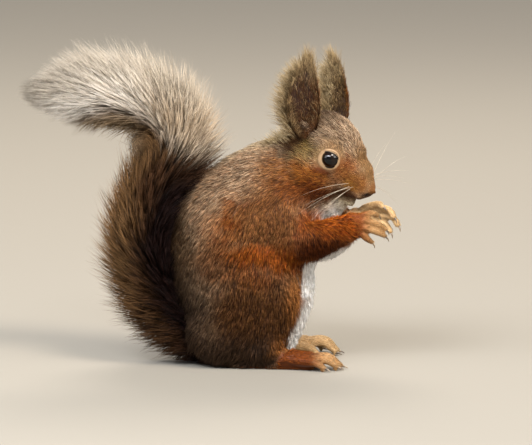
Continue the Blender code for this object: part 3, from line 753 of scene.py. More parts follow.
# tone, regions it is on, frame, centre, radii (mm), share; a later row lies over the earlier ones
markings = [
    ("arm", ("upper_arm", "forearm"), "body", (40, 30, 80), (60, 60, 60), 1.0),
    ("rust", ("upper_arm",), "body", (36, 30, 70), (12, 30, 9), 0.6),
    ("flank", ("chest", "upper_arm", "haunch"), "body", (3, 28, 80), (22, 30, 18), 0.75),
    ("shoulder", ("chest", "upper_arm", "neck"), "body", (22, 26, 90), (24, 30, 18), 0.85),
    ("lowFlank", ("chest", "haunch", "upper_arm"), "body", (-8, 28, 64), (17, 30, 12), 0.8),
    ("rear", ("chest", "haunch", "belly"), "body", (-40, 0, 68), (25, 60, 31), 0.9),
    ("thigh", ("haunch", "chest", "belly"), "body", (12, 30, 36), (30, 60, 32), 1.0),
    # painted shade of the tail on the rump
    ("rump", ("haunch", "chest", "belly"), "body", (-34, 0, 22), (30, 60, 42), 0.95),
    # painted shade on the low thigh, darker towards the floor
    ("thighLow", ("haunch", "chest", "belly"), "body", (2, 30, 6), (36, 60, 20), 0.9),
    # painted shadow: a thin dark line in the crease above the thigh's top
    ("rear", ("haunch", "chest", "upper_arm"), "body", (14, 30, 77), (13, 14, 2.4), 0.55),
    # rusty hair along the thigh's rounded top, with a painted highlight on its edge
    ("rust", ("haunch", "upper_arm", "chest", "belly"), "body", (13, 28, 69), (18, 16, 6), 0.95),
    ("rust", ("haunch", "belly"), "body", (16, 28, 61), (20, 16, 10), 0.4),
    ("rust", ("haunch", "upper_arm", "chest", "belly"), "body", (30, 26, 64.5), (10, 16, 7), 0.9),
    ("rust", ("chest", "upper_arm"), "body", (-1, 28, 86), (7, 14, 4.0), 0.7),
    ("rust", ("chest", "upper_arm"), "body", (-6, 28, 77), (7, 14, 3), 0.4),
    ("knee", ("haunch", "belly"), "body", (37, 24, 46), (9, 14, 26), 0.85),
    ("knee", ("haunch", "belly"), "body", (30, 26, 14), (10, 14, 10), 0.8),
    ("white", ("belly",), "body", (48, 0, 30), (27, 24, 60), 1.0),
    ("white", ("chest", "upper_arm"), "body", (50, 0, 76), (17, 10, 22), 1.0),
    ("white", ("haunch", "belly"), "body", (40, 13, 22), (8, 9, 22), 1.0),
    ("forearm", ("upper_arm", "chest", "neck"), "body", (47, 24, 85), (12, 30, 9), 0.75),
    # painted shade under the elbow
    ("elbow", ("upper_arm", "forearm"), "body", (46, 30, 70), (11, 24, 5), 0.95),
    # painted light: the thigh's front rim under the elbow, painted lighter against the arm's shadow there
    ("rust", ("haunch", "chest", "upper_arm", "belly"), "body", (29, 28, 63), (8, 14, 4.5), 0.9),
    ("knee", ("haunch", "belly"), "body", (31, 28, 64), (7, 14, 3.5), 0.7),
    ("forearm", ("forearm", "hand"), "body", (62, 24, 85), (22, 40, 10), 1.0),
    # painted shade on the lower side of the arm, above the elbow
    ("forearmLow", ("forearm", "upper_arm"), "body", (49, 30, 71), (17, 40, 9), 0.95),
    ("rust", ("neck", "upper_arm", "forearm"), "body", (46, 24, 86), (10, 10, 6), 0.8),
    ("neckSide", ("neck", "head", "chest"), "body", (28, 22, 112), (15, 20, 17), 0.85),
    # paler hair at the nape and, in the next row, along the top of the back; partly painted rim light
    ("nape", ("neck", "chest"), "body", (22, 0, 134), (18, 15, 12), 0.8),
    ("nape", ("neck", "chest"), "body", (2, 0, 128), (34, 6, 15), 0.8),
    ("crown", ("head",), "head", (-6, 0, 24), (60, 60, 60), 1.0),
    ("forehead", ("head",), "head", (5, 0, 25), (12, 13, 11), 0.95),
    ("brow", ("head",), "head", (5, 14, 13), (9, 7, 5), 0.7),
    ("bridge", ("head",), "head", (20, 0, 10), (12, 7, 8), 0.9),
    ("olive", ("head", "neck"), "head", (-9, 22, 5), (9, 9, 9), 0.85),
    ("yellow", ("head", "neck"), "head", (-12, 22, 8), (5, 9, 5), 0.8),
    ("fringe", ("head", "neck", "chest"), "head", (-31, 18, 2), (6, 12, 11), 0.85),
    ("earDark", ("head", "neck"), "head", (-19, 19, 6), (9, 9, 10), 0.95),
    ("earDark", ("head", "neck"), "body", (37, 15.5, 134), (8, 7, 8.5), 0.9),
    ("redZone", ("head",), "head", (14, 12, 4), (7, 9, 9), 0.9),
    # painted shade under the lower lid
    ("cheekLow", ("head",), "head", (2.5, 15, -2.6), (6, 8, 2.0), 0.75),
    ("cheek", ("head", "neck"), "head", (0, 20, -7), (18, 14, 8), 0.95),
    # painted shade under the lower lid
    ("cheekLow", ("head",), "head", (3, 15, -2.4), (6, 8, 1.8), 0.5),
    ("cheekLow", ("head", "neck"), "head", (7, 18, -14), (14, 14, 6), 0.9),
    ("jaw", ("head", "neck"), "head", (-4, 26, -18), (13, 14, 6), 0.8),
    ("muzzle", ("head",), "head", (23, 8, 0), (8, 7, 7), 0.9),
    ("pad", ("head",), "head", (20, 9, -4), (4.5, 5, 3.5), 0.85),
    ("bridge", ("head",), "head", (27, 0, 4), (6, 4, 4), 0.8),
    ("lip", ("head",), "head", (22, 8, -10), (9, 8, 3.4), 0.9),
    ("muzzle", ("head",), "head", (30.5, 0, -1.5), (3.5, 4, 3.5), 0.8),
    ("noseDark", ("head",), "head", (28.4, 2.8, -5.6), (4.2, 4.2, 2.2), 0.95),
    ("cream", ("head",), "head", (20, 0, -19), (10, 10, 5.4), 0.9),
    ("white", ("head", "neck", "chest"), "head", (8, 0, -32), (17, 16, 13), 1.0),
    ("foot", ("foot",), "body", (34, 26, 8), (60, 60, 60), 1.0),
    ("toes", ("foot",), "body", (60, 26, 4), (14, 30, 14), 0.9),
    ("hand", ("hand",), "body", (72, 20, 84), (60, 60, 60), 1.0),
    ("forearm", ("hand",), "body", (62, 20, 84), (13, 40, 16), 0.95),
    ("fingers", ("hand",), "body", (86, 18, 82), (11, 40, 22), 0.9),
]
farSide = [  # the far (left) foot and hand are painted paler, as painted light; the far forearm has its white underside
    ("farFingers", ("foot_left",), (46, 28, 6), (26, 30, 30), 0.8),
    ("farFingers", ("hand_left",), (84, -4, 86), (20, 30, 30), 0.9),
    ("white", ("forearm_left",), (56, 10, 64), (18, 14, 9), 0.95),
]
creamLine = {  # the cream of the tail starts above this line
    "x": (-130, -96, -86, -78, -60, -48, -38, -24, -6),
    "z": (132, 136, 143, 147.5, 147.5, 142, 134, 128, 128),
}
brushMiddle = {"x": (-33, -51, -57, -56, -48, -39, -32), "z": (18, 36, 58, 79, 98, 114, 128)}
facePart = ("head", "lid")
eyeRing = (5.8, 6.6)  # mm from the line of the gaze, where the pale ring starts to end and has ended


def zoneShare(places, centre, radii):
    reach = np.linalg.norm((places - np.array(centre)) / np.array(radii), axis=1)
    return 1 - smoothStep(reach, 0.5, 1.35)


# root, middle and tip colours and how mixed the hairs are, all of one tone
def startTone(name, count):
    *colours, mixed = toneRows[name]
    return [np.tile(colour, (count, 1)) for colour in colours] + [np.full(count, mixed)]


# lays another tone over them, by its share at each place
def layTone(coat, name, share):
    for under, over in zip(coat, toneRows[name]):
        under += (over - under) * (share[:, None] if under.ndim > 1 else share)


# the tones of the coat at each place; loose moves the places a little
def coatTones(places, regions, loose):
    count = len(places)
    moved = places + noiseVectors(places, 5, 3) * 1.6 * loose + rng.normal(0, 1.0, (count, 3)) * loose
    coat = startTone("back", count)
    sided = moved * [1, 0, 1] + np.abs(moved) * [0, 1, 0]
    inHead = toHead(moved)
    inHead[:, 1] = np.abs(inHead[:, 1])
    part = partNames[regions]
    full = np.array(regionNames)[regions]
    for name, on, space, centre, radii, amount in markings:
        spots = sided if space == "body" else inHead
        layTone(coat, name, amount * zoneShare(spots, centre, radii) * np.isin(part, on))
    for name, on, centre, radii, amount in farSide:
        layTone(coat, name, amount * zoneShare(moved, centre, radii) * np.isin(full, on))
    for side in (1, -1):
        _, reach, high = roundEye(places, side)
        layTone(coat, "eyeRing", (1 - smoothStep(reach, *eyeRing)) * np.isin(part, facePart) * (high > -1))
    tail = part == "tail"
    if tail.any():
        layTone(coat, "tailBrown", tail.astype(float))
        lean = places[:, 0] - np.interp(places[:, 2], brushMiddle["z"], brushMiddle["x"])
        high = places[:, 2]
        low = tail * (1 - smoothStep(high, 104, 128))
        wander = softNoise(places, 8, 6)
        # painted shade on the side of the brush that lies against the back
        inner = lean + wander * 4 + 9 * smoothStep(high, 88, 112)
        layTone(coat, "tailDark", tail * (1 - smoothStep(high, 120, 138)) * smoothStep(inner, -16, 2) * 0.95)
        # painted shade at the tail's root, in the gap against the back
        layTone(coat, "tailDark", tail * (1 - smoothStep(high, 14, 52)) * 0.7)
        # painted shadow in the gap between the low brush and the back
        layTone(coat, "tailFront", low * smoothStep(lean + wander * 3, -5, 8))
        line = np.interp(places[:, 0], creamLine["x"], creamLine["z"])
        over = high - line + softNoise(places, 7, 5) * 2.5
        cream = tail * smoothStep(over, -5, 9)
        # painted shade on the top of the curl, where the light from above falls strongest; the share also
        # grows towards the tip
        crest = over + 0.35 * np.maximum(-96 - places[:, 0], 0)
        under = (1 - smoothStep(np.abs(over + 8), 5, 13)) * (1 - smoothStep(places[:, 0], -64, -50))
        layTone(coat, "tailUnder", tail * under * (high > 118) * 0.8)
        layTone(coat, "tailCream", cream)
        layTone(coat, "tailBend", cream * smoothStep(places[:, 0], -68, -34))
        layTone(coat, "tailCrest", tail * smoothStep(crest, 13, 30) * 0.9)
    return coat


# lie of the coat
# place (mm, left side), then the heading of the hair seen from the side, in degrees:
# 0 is back, 90 is down and 180 is ahead
layGuides = [
    ((20, 12, 127), 30), ((30, 18, 120), 40), ((-4, 15, 113), 20), ((-15, 14, 104), 25),
    ((-26, 14, 88), 45), ((-31, 15, 68), 75), ((-28, 20, 40), 80), ((-10, 23, 90), 25),
    ((3, 24, 96), 30), ((17, 23, 100), 45), ((30, 22, 108), 45), ((33, 26, 90), 75),
    ((31, 29, 80), 65), ((40, 30, 76), 90), ((52, 28, 82), 150), ((52, 28, 74), 105),
    ((61, 26, 80), 150), ((-3, 28, 77), 50), ((-14, 27, 63), 60), ((-17, 27, 47), 75),
    ((12, 29, 71), 180), ((26, 27, 68), 145), ((36, 22, 57), 110), ((37, 24, 43), 90),
    ((32, 29, 27), 70), ((13, 34, 51), 90), ((-1, 30, 61), 55), ((-7, 33, 39), 75),
    ((9, 33, 21), 75), ((-11, 32, 18), 50), ((44, 8, 60), 100), ((46, 0, 45), 100),
    ((42, 8, 25), 90), ((52, 0, 84), 95), ((-36, 0, 84), 65), ((-30, 0, 98), 45),
    ((0, 0, 118), 20), ((0, 10, 2), 0),
]
guidePlaces = np.array([place for place, _ in layGuides], float)
guideHeadings = np.radians([heading for _, heading in layGuides])
guideWays = np.stack(
    [-np.cos(guideHeadings), np.zeros(len(layGuides)), -np.sin(guideHeadings)], axis=1
)


# the way the hair points at each place, not yet flat on the skin
def layOfCoat(places, regions):
    sided = places * [1, 0, 1] + np.abs(places) * [0, 1, 0]
    side = np.where(places[:, 1] < 0, -1.0, 1.0)
    near = np.linalg.norm(sided[:, None] - guidePlaces[None], axis=2)
    share = 1 / (near**3 + 20)
    ways = (share[:, :, None] * guideWays[None]).sum(1) / share.sum(1)[:, None]
    ways[:, 1] *= side
    part = partNames[regions]
    inHead = toHead(places)
    head = np.isin(part, facePart)
    down = smoothStep(-inHead[:, 2], -8, 14)
    backward = np.stack([-np.ones(len(places)), np.zeros(len(places)), -0.45 * down], axis=1)
    backward[:, 2] -= smoothStep(-inHead[:, 0], 0, 16) * 0.5
    ways = np.where(head[:, None], unit(backward) @ headTurn.T, ways)
    ways = np.where(np.isin(part, ("hand", "foot"))[:, None], [1.0, 0, -0.12], ways)
    return ways


# hair parts round the eyes and points away from them
def aroundEyes(places, ways, regions):
    part = partNames[regions]
    for side in (1, -1):
        flat, reach, high = roundEye(places, side)
        share = (1 - smoothStep(reach, 6.5, 11)) * np.isin(part, facePart) * (high > -4)
        ways = ways * (1 - share[:, None]) + unit(flat) * share[:, None]
    return ways


print("coat: combing the lie of the hair")
skinWays = alongSurface(unit(layOfCoat(skinPoints, skinRegion)), skinNormals)
for _ in range(5):
    skinWays = alongSurface(unit(blurred(skinWays, skinPairs, 5)), skinNormals)
skinWays = aroundEyes(skinPoints, unit(skinWays), skinRegion)
skinWays = unit(alongSurface(skinWays, skinNormals))


# lays the skin out flat for the baked colours: each region in six charts by the way it faces,
# side by side at one scale
def flatLayout(places, facing, regions):
    axis = np.argmax(np.abs(facing), axis=1)
    sign = facing[np.arange(len(facing)), axis] > 0
    chart = regions * 6 + axis * 2 + sign
    flat = np.where((axis == 0)[:, None], places[:, [1, 2]],
                    np.where((axis == 1)[:, None], places[:, [0, 2]], places[:, [0, 1]]))
    used, index = np.unique(chart, return_inverse=True)
    low = np.full((len(used), 2), 1e9)
    high = np.full((len(used), 2), -1e9)
    np.minimum.at(low, index, flat)
    np.maximum.at(high, index, flat)
    size = high - low + 1.5
    sheet = math.sqrt((size[:, 0] * size[:, 1]).sum()) * 1.12
    sheet = max(sheet, size[:, 0].max())
    corner = np.zeros_like(low)
    x = y = row = 0.0
    for k in np.argsort(-size[:, 1]):
        if x + size[k, 0] > sheet:
            x, y, row = 0.0, y + row, 0.0
        corner[k] = (x, y)
        x += size[k, 0]
        row = max(row, size[k, 1])
    scale = 0.99 / max(sheet, y + row)
    return 0.005 + (flat - low[index] + 0.75 + corner[index]) * scale


# locks of hair
patchSize = 0.003  # how wide a lock's patch is on its flat layout
lockLowest = 0.12  # mm over the floor


# faces of one three-sided lock with that many rings and a point, as corners and sides
def lockTemplate(rings):
    faces = [(0, 2, 1)]
    for k in range(rings - 1):
        a, b = 3 * k, 3 * k + 3
        for i, j in ((0, 1), (1, 2), (2, 0)):
            faces.append((a + i, a + j, b + j, b + i))
    a, tip = 3 * (rings - 1), 3 * rings
    faces += [(a, a + 1, tip), (a + 1, a + 2, tip), (a + 2, a, tip)]
    return np.concatenate([np.array(f) for f in faces]), np.array([len(f) for f in faces]), tip + 1


# closed, tapering locks: spine is locks x (rings + 1) x 3, over the way each lock's ridge faces
def lockMesh(name, spine, over, width, colours, shades, flatPlace, thick=0.45, taper=(1.0, 0.75, 0.5)):
    count, steps = spine.shape[:2]
    rings = steps - 1
    faces, sides, size = lockTemplate(rings)
    points = np.zeros((count, size, 3), np.float32)
    tints = np.zeros((count, size, 3), np.float32)
    patch = np.zeros((size, 2))
    for k in range(rings):
        along = unit(spine[:, min(k + 1, steps - 1)] - spine[:, max(k - 1, 0)])
        across = unit(np.cross(along, over))
        ridge = unit(np.cross(across, along))
        half = (width * 0.5 * taper[k])[:, None]
        points[:, 3 * k] = spine[:, k] + across * half
        points[:, 3 * k + 1] = spine[:, k] - across * half
        points[:, 3 * k + 2] = spine[:, k] + ridge * half * 2 * thick
        share = k / rings
        for c, u in enumerate((0.0, 1.0, 0.5)):
            tints[:, 3 * k + c] = colours[:, k]
            patch[3 * k + c] = (u, share)
    points[:, size - 1] = spine[:, rings]
    tints[:, size - 1] = colours[:, rings]
    patch[size - 1] = (0.5, 1.0)
    points[:, :, 2] = np.maximum(points[:, :, 2], lockLowest)
    allFaces = (faces[None] + (np.arange(count) * size)[:, None]).ravel()
    obj = meshObject(name, points.reshape(-1, 3), allFaces, np.tile(sides, count))
    paintPoints(obj, (tints * shades[:, None, None]).reshape(-1, 3))
    layer = obj.data.uv_layers.new(name="OFBake")
    spots = flatPlace[:, None] + (patch[faces] - 0.5)[None] * patchSize
    layer.data.foreach_set("uv", np.clip(spots, 0.0005, 0.9995).astype(np.float32).ravel())
    return obj


# even random places on the skin triangles in the mask: place, normal, way, region, triangle
def scatter(mask, density):
    chosen = np.nonzero(mask)[0]
    a, b, c = (skinPoints[skinCorners[chosen, i]] for i in range(3))
    area = 0.5 * np.linalg.norm(np.cross(b - a, c - a), axis=1)
    wanted = area * density[chosen] * sparse
    count = np.floor(wanted + rng.random(len(wanted))).astype(int)
    face = np.repeat(chosen, count)
    r, s = rng.random(len(face)), rng.random(len(face))
    over = r + s > 1
    r, s = np.where(over, 1 - r, r), np.where(over, 1 - s, s)
    share = np.stack([1 - r - s, r, s], axis=1)[:, :, None]
    spread = skinCorners[face]
    place = (skinPoints[spread] * share).sum(1)
    normal = unit((skinNormals[spread] * share).sum(1))
    way = (skinWays[spread] * share).sum(1)
    way = unit(alongSurface(way, normal))
    return place, normal, way, faceRegion[face], face


faceRegion = skinRegion[skinCorners[:, 0]]
coatPlan = {  # per region: locks per mm2, length, width (mm), lift at the root and at the tip (degrees)
    "head": (5.4, 2.9, 0.25, 22, 6), "lid": (5.0, 1.3, 0.22, 28, 10),
    "neck": (2.3, 6.4, 0.34, 30, 10), "chest": (2.3, 8.0, 0.35, 32, 9),
    "belly": (1.4, 8.0, 0.40, 27, 9), "haunch": (1.9, 7.4, 0.37, 32, 10),
    "upper_arm": (2.2, 6.2, 0.36, 32, 10), "forearm": (2.8, 4.6, 0.32, 30, 9),
    "hand": (4.6, 1.7, 0.26, 22, 6), "foot": (4.2, 2.0, 0.28, 24, 6),
}
noCoat = (0, 1, 0.3, 20, 10)
planRows = np.array([coatPlan.get(n, noCoat) for n in partNames], float)
facePlan = planRows[faceRegion]
pointPlan = blurred(planRows[skinRegion], skinPairs, 40)


# moves tips together in small bunches, each round one lock of the bunch
def gatherLocks(roots, tips, every, pull):
    lead = np.arange(0, len(roots), every)
    tree = KDTree(len(lead))
    for i in lead:
        tree.insert(roots[i], int(i))
    tree.balance()
    nearest = np.array([tree.find(p)[1] for p in roots])
    return (tips[nearest] - tips) * pull[:, None]


def shadesFor(places, mixed):
    count = len(places)
    shade = 1 + mixed * (1.7 * (rng.random(count) - 0.5) + 0.40 * softNoise(places, 2.2, 9)
                         + 0.40 * softNoise(places, 1.1, 13)
                         + 0.16 * softNoise(places, 9, 11))
    return np.clip(shade, 0.35, 1.7)


# colour of each ring and the point of a lock, some hairs with dark points and some pale
def ringColours(coat, rings):
    root, middle, tip, mixed = coat
    pale = rng.random(len(root))
    reach = np.where(pale < 0.28 * mixed, -0.55, 0.35 + 1.0 * pale)[:, None]
    point = np.clip(middle + (tip - middle) * reach, 0.004, 0.95)
    rootPart = 0.45  # of the lock's length
    out = []
    for t in np.linspace(0, 1, rings + 1):
        if t < rootPart:
            out.append(root + (middle - root) * (t / rootPart))
        else:
            out.append(middle + (point - middle) * ((t - rootPart) / (1 - rootPart)))
    return np.stack(out, axis=1)


eyeClear = {"lid": 5.35, "head": 6.2}  # mm from the line of the gaze, where no hair grows
looseHair = {"parts": ("belly", "chest", "neck", "forearm", "haunch"), "share": 0.05, "longer": 0.3}
bunches = {"locks": 9, "flatParts": ("head", "lid", "hand", "foot"), "flatPull": 0.10, "pull": 0.30}


# shorter on the nose and round the eyes, longer on the cheeks and behind the ears
def lockSizes(inHead, part, plan, eyeReach):
    length, width = plan[:, 1].copy(), plan[:, 2].copy()
    headLength = 1.1 + 2.6 * smoothStep(-inHead[:, 0], -28, -2) + 1.8 * smoothStep(-inHead[:, 0], -4, 14)
    length = np.where(part == "head", headLength, length)
    onHead, clear = np.isin(part, facePart), smoothStep(eyeReach, 6, 11)
    length = np.where(onHead, length * (0.38 + 0.62 * clear), length)
    return length, np.where(onHead, width * (0.75 + 0.25 * clear), width)


# nostrils, soles, palms, the seat and the eyes have no hair
def barePlaces(place, normal, part, inHead, eyeViews):
    onHead = np.isin(part, facePart)
    bare = onHead & (grooveDepth(inHead, faceDetail["nostril"], 0.7, 1.0) > 0.45)
    bare |= (part == "foot") & (normal[:, 2] < -0.35)
    bare |= (part == "hand") & (rng.random(len(place)) < smoothStep(-normal[:, 2], 0.2, 0.8) * 0.6)
    bare |= (place[:, 2] < 1.2) & (normal[:, 2] < -0.6)
    for _, flat, high in eyeViews:
        bare |= onHead & (high > 0) & (flat < eyeClear["lid"])
        bare |= (part == "head") & (high > -6) & (flat < eyeClear["head"])
    return bare


# middle lines of locks that rise from the skin and bend down along it
def lockSpines(place, normal, way, length, plan, part, rings):
    rootLift = np.radians(plan[:, 3] * (1 + 0.3 * rng.normal(size=len(place))))
    tipLift = np.radians(plan[:, 4] * (1 + 0.5 * rng.normal(size=len(place))))
    loose = (rng.random(len(place)) < looseHair["share"]) * np.isin(part, looseHair["parts"])
    tipLift = tipLift + loose * np.radians(np.where(part == "haunch", 8, 22))
    length = length * (1 + looseHair["longer"] * loose)
    steps = np.linspace(0, 1, rings + 1)
    spine = np.zeros((len(place), rings + 1, 3))
    spine[:, 0] = place - normal * 0.15
    for k in range(1, rings + 1):
        t = (steps[k] + steps[k - 1]) / 2
        lift = rootLift + (tipLift - rootLift) * (t if rings > 1 else 0.6)
        step = length * (steps[k] - steps[k - 1])
        spine[:, k] = spine[:, k - 1] + (
            way * (np.cos(lift) * step)[:, None] + normal * (np.sin(lift) * step)[:, None]
        )
    pull = np.where(np.isin(part, bunches["flatParts"]), bunches["flatPull"], bunches["pull"])
    shift = gatherLocks(spine[:, 0], spine[:, -1], bunches["locks"], pull)
    for k in range(1, rings + 1):
        spine[:, k] += shift * steps[k] ** 1.5
    return spine


def coatPiece(name, parts, rings, side=None):
    mask = np.isin(faceRegion, [regionOf[p] for p in parts])
    if side is not None:
        middle = skinPoints[skinCorners].mean(1)[:, 1]
        mask &= (middle >= 0) if side > 0 else (middle < 0)
    place, normal, way, regions, face = scatter(mask, facePlan[:, 0])
    plan = pointPlan[skinCorners[face]].mean(1)
    part = partNames[regions]
    inHead = toHead(place)
    eyeViews = [roundEye(place, eyeSide) for eyeSide in (1, -1)]
    eyeReach = np.full(len(place), 99.0)
    for _, flat, high in eyeViews:
        eyeReach = np.where(high > -3, np.minimum(eyeReach, flat), eyeReach)
    length, width = lockSizes(inHead, part, plan, eyeReach)
    length *= 1 + 0.16 * rng.normal(size=len(length)).clip(-2, 2)
    keep = ~barePlaces(place, normal, part, inHead, eyeViews)
    place, normal, way, regions, length, width, plan, part = (
        v[keep] for v in (place, normal, way, regions, length, width, plan, part)
    )
    way = way + 0.20 * noiseVectors(place, 9, 21) + 0.16 * rng.normal(size=place.shape)
    way = unit(alongSurface(way, normal))
    spine = lockSpines(place, normal, way, length, plan, part, rings)
    roll = rng.normal(0, 0.55, len(place))[:, None]
    over = unit(normal * np.cos(roll) + np.cross(way, normal) * np.sin(roll))
    coat = coatTones(place, regions, 1.0)
    colours = ringColours(coat, rings)
    flat = flatLayout(place, normal, regions)
    taper = (1.0, 0.8, 0.5) if rings > 1 else (1.0,)
    print(f"coat: {name} {len(place)} locks, {len(place) * (6 * rings - 2)} triangles")
    return lockMesh(name, spine, over, width, colours, shadesFor(place, coat[3]), flat, taper=taper)


coats = [
    coatPiece("coat_head", ["head", "lid"], 1),
    coatPiece("coat_neck", ["neck"], 2),
    coatPiece("coat_back_right", ["chest"], 2, side=-1),
    coatPiece("coat_back_left", ["chest"], 2, side=1),
    coatPiece("coat_belly", ["belly"], 2),
    coatPiece("coat_haunch_right", ["haunch_right"], 2),
    coatPiece("coat_haunch_left", ["haunch_left"], 2),
    coatPiece("coat_arm_right", ["upper_arm_right", "forearm_right"], 2),
    coatPiece("coat_arm_left", ["upper_arm_left", "forearm_left"], 2),
    coatPiece("coat_hands", ["hand_right", "hand_left"], 1),
    coatPiece("coat_feet", ["foot_right", "foot_left"], 1),
]

# locks, length and width (mm), lift (degrees), then the way: up, back, how loose, and how much
# less far back it leans at the ear's tip
earCoat = {
    "inside": (3600, 5.0, 0.30, 12, 1.0, 0.22, 0.12, 0.6),
    "outside": (2700, 3.6, 0.32, 16, 1.0, 0.30, 0.14, 0.6),
    "fringe": (1900, 11.8, 0.24, 6, 0.74, 1.0, 0.22, 0.3),
    "tuft": (620, 12.5, 0.27, 4, 1.0, 0.16, 0.11, 0.0),
    "rim": (340, 2.4, 0.20, 4, 1.0, -0.25, 0.12, 0.0),
    "base": (900, 5.6, 0.27, 10, 1.0, 0.0, 0.30, 0.0),
}


# where the roots of one kind of lock are: across the ear from -1 to 1, and up it from 0 to 1
def earSpots(kind, count, backward):
    v, u = rng.random(count) ** 0.9, rng.uniform(-1, 1, count)
    if kind == "fringe":
        u, v = backward * (1 - 0.75 * rng.random(count) ** 1.6), rng.random(count) * 0.95
    if kind == "rim":
        u = -backward * np.ones(count)
    if kind == "base":
        u, v = np.where(rng.random(count) < 0.5, 1.0, -1.0), 0.5 * rng.random(count) ** 1.3
        u *= 1 - 0.35 * rng.random(count) ** 2
    if kind == "tuft":
        u, v = 0.7 * u, 0.66 + 0.34 * rng.random(count) ** 0.8
    return u, v


# dark up to a slanting line, buff behind it and at the point; u is the share back from the middle
def earTones(kind, ear, root, u, v):
    count = len(root)
    coat = startTone("earDark", count)
    if kind == "outside":
        layTone(coat, "earBack", np.ones(count))
        layTone(coat, "rust", smoothStep(-u, 0.62, 0.95) * 0.35)
    high, slope = ear["paleFrom"]
    line = high - slope * v + 0.25 * softNoise(root, 4, 52) + rng.normal(0, 0.14, count)
    layTone(coat, "earMid", smoothStep(u, line - 0.45, line + 0.5) * 0.9)
    layTone(coat, "fringe", smoothStep(u, line + 0.25, line + 1.0) * 0.8)
    layTone(coat, "earTuft", smoothStep(v, 0.62, 0.95) * 0.7)
    if kind == "inside":
        layTone(coat, "earMid", (rng.random(count) < 0.26) * 0.75)
        # painted shade deep in the ear's cup at its base
        layTone(coat, "earHole", 1 - smoothStep(v, 0.03, 0.20))
    if kind == "base":
        layTone(coat, "earMid", (rng.random(count) < 0.3) * smoothStep(v, 0.1, 0.3))
    if kind == "fringe":
        share = np.maximum(smoothStep(u, 0.55, 0.85), smoothStep(v, 0.1, 0.35))
        layTone(coat, "fringe", (0.35 + 0.5 * rng.random(count)) * share)
    if kind in ("tuft", "rim"):
        share = 0.5 if kind == "tuft" else 0.0
        layTone(coat, "earTuft", (share + 0.4 * rng.random(count)) * smoothStep(v, 0.1, 0.5))
    return coat


def earLocks(name, ear):
    centre, half, along, across, opens = earFrame(ear)
    backward = -1.0 if across[5] @ np.array([1.0, 0, 0]) > 0 else 1.0
    spines, overs, widths, tints, mixes, flats = [], [], [], [], [], []
    for kind, (count, long, wide, lift, upward, rearward, loose, closing) in earCoat.items():
        count = int(count * sparse)
        u, v = earSpots(kind, count, backward)
        row = np.clip(v * (earRows - 1), 0, earRows - 1)
        place, up, side, out = (
            np.stack([np.interp(row, np.arange(earRows), m[:, k]) for k in range(3)], axis=1)
            for m in (centre, along, across, opens)
        )
        halfHere = np.interp(row, np.arange(earRows), half)
        cup = ear["cup"] * (1 - v) ** 0.6 * halfHere / 7
        a = u * earBend
        deep = -cup * (np.cos(a) - math.cos(earBend)) / (1 - math.cos(earBend))
        root = place + side * (halfHere * np.sin(a) / math.sin(earBend))[:, None] + out * deep[:, None]
        back = unit(-out * np.cos(a)[:, None] + side * (0.6 * np.sin(a))[:, None])
        facing = np.where(rng.random(count) < 0.5, 1.0, -1.0)[:, None]
        normal = {"inside": -back, "outside": back, "base": out}.get(kind, back * facing)
        spread = 0.5 if kind in ("fringe", "tuft") else 0.0
        normal = unit(normal + spread * rng.normal(size=(count, 3)))
        sideways = backward * rearward * (1 - closing * v)
        way = up * upward + side * sideways[:, None]
        if kind == "base":
            way = way - side * (0.30 * u)[:, None]
        if kind == "tuft":
            way = way + side * (0.10 * u)[:, None]
        way = unit(way + loose * rng.normal(size=(count, 3)) + 0.10 * noiseVectors(root, 3, 51))
        normal = unit(alongSurface(normal, way))
        length = long * (0.6 + 0.7 * rng.random(count))
        if kind == "fringe":
            length *= 1.1 - 0.5 * np.abs(v - 0.35)
        if kind in ("inside", "outside"):
            length *= 0.75 + 0.8 * v
        angle = math.radians(lift)
        step = (way * math.cos(angle) + normal * math.sin(angle)) * (length / 2)[:, None]
        curl = np.cross(way, normal) * (rng.normal(0, 0.12, count) * length)[:, None]
        spines.append(np.stack([root, root + step, root + step * 2 + curl], axis=1))
        overs.append(unit(normal + 0.4 * rng.normal(size=(count, 3))))
        widths.append(wide * (0.75 + 0.5 * rng.random(count)))
        coat = earTones(kind, ear, root, u * backward, v)
        tints.append(ringColours(coat, 2))
        mixes.append(coat[3])
        shift = 0.0 if kind == "inside" else 0.5  # the outer hair has the right half of the layout
        flats.append(np.stack([0.02 + 0.45 * (u + 1) / 2 + shift, 0.02 + 0.96 * v], axis=1))
    spine, mixed = np.vstack(spines), np.concatenate(mixes)
    print(f"coat: {name} {len(spine)} locks, {len(spine) * 10} triangles")
    return lockMesh("coat_" + name, spine, np.vstack(overs), np.concatenate(widths), np.vstack(tints),
                    shadesFor(spine[:, 0], mixed), np.vstack(flats), taper=(0.9, 0.75))


for name, ear in earShape.items():
    coats.append(earLocks(name, ear))


napeCoat = {  # zone in the head frame (mm), locks per mm2, length and width (mm)
    "centre": (-27, 19, 6), "radii": (7, 9, 11), "density": 2.4, "length": 7.0, "width": 0.30,
    "lean": (-0.68, 0, 0.66),
}


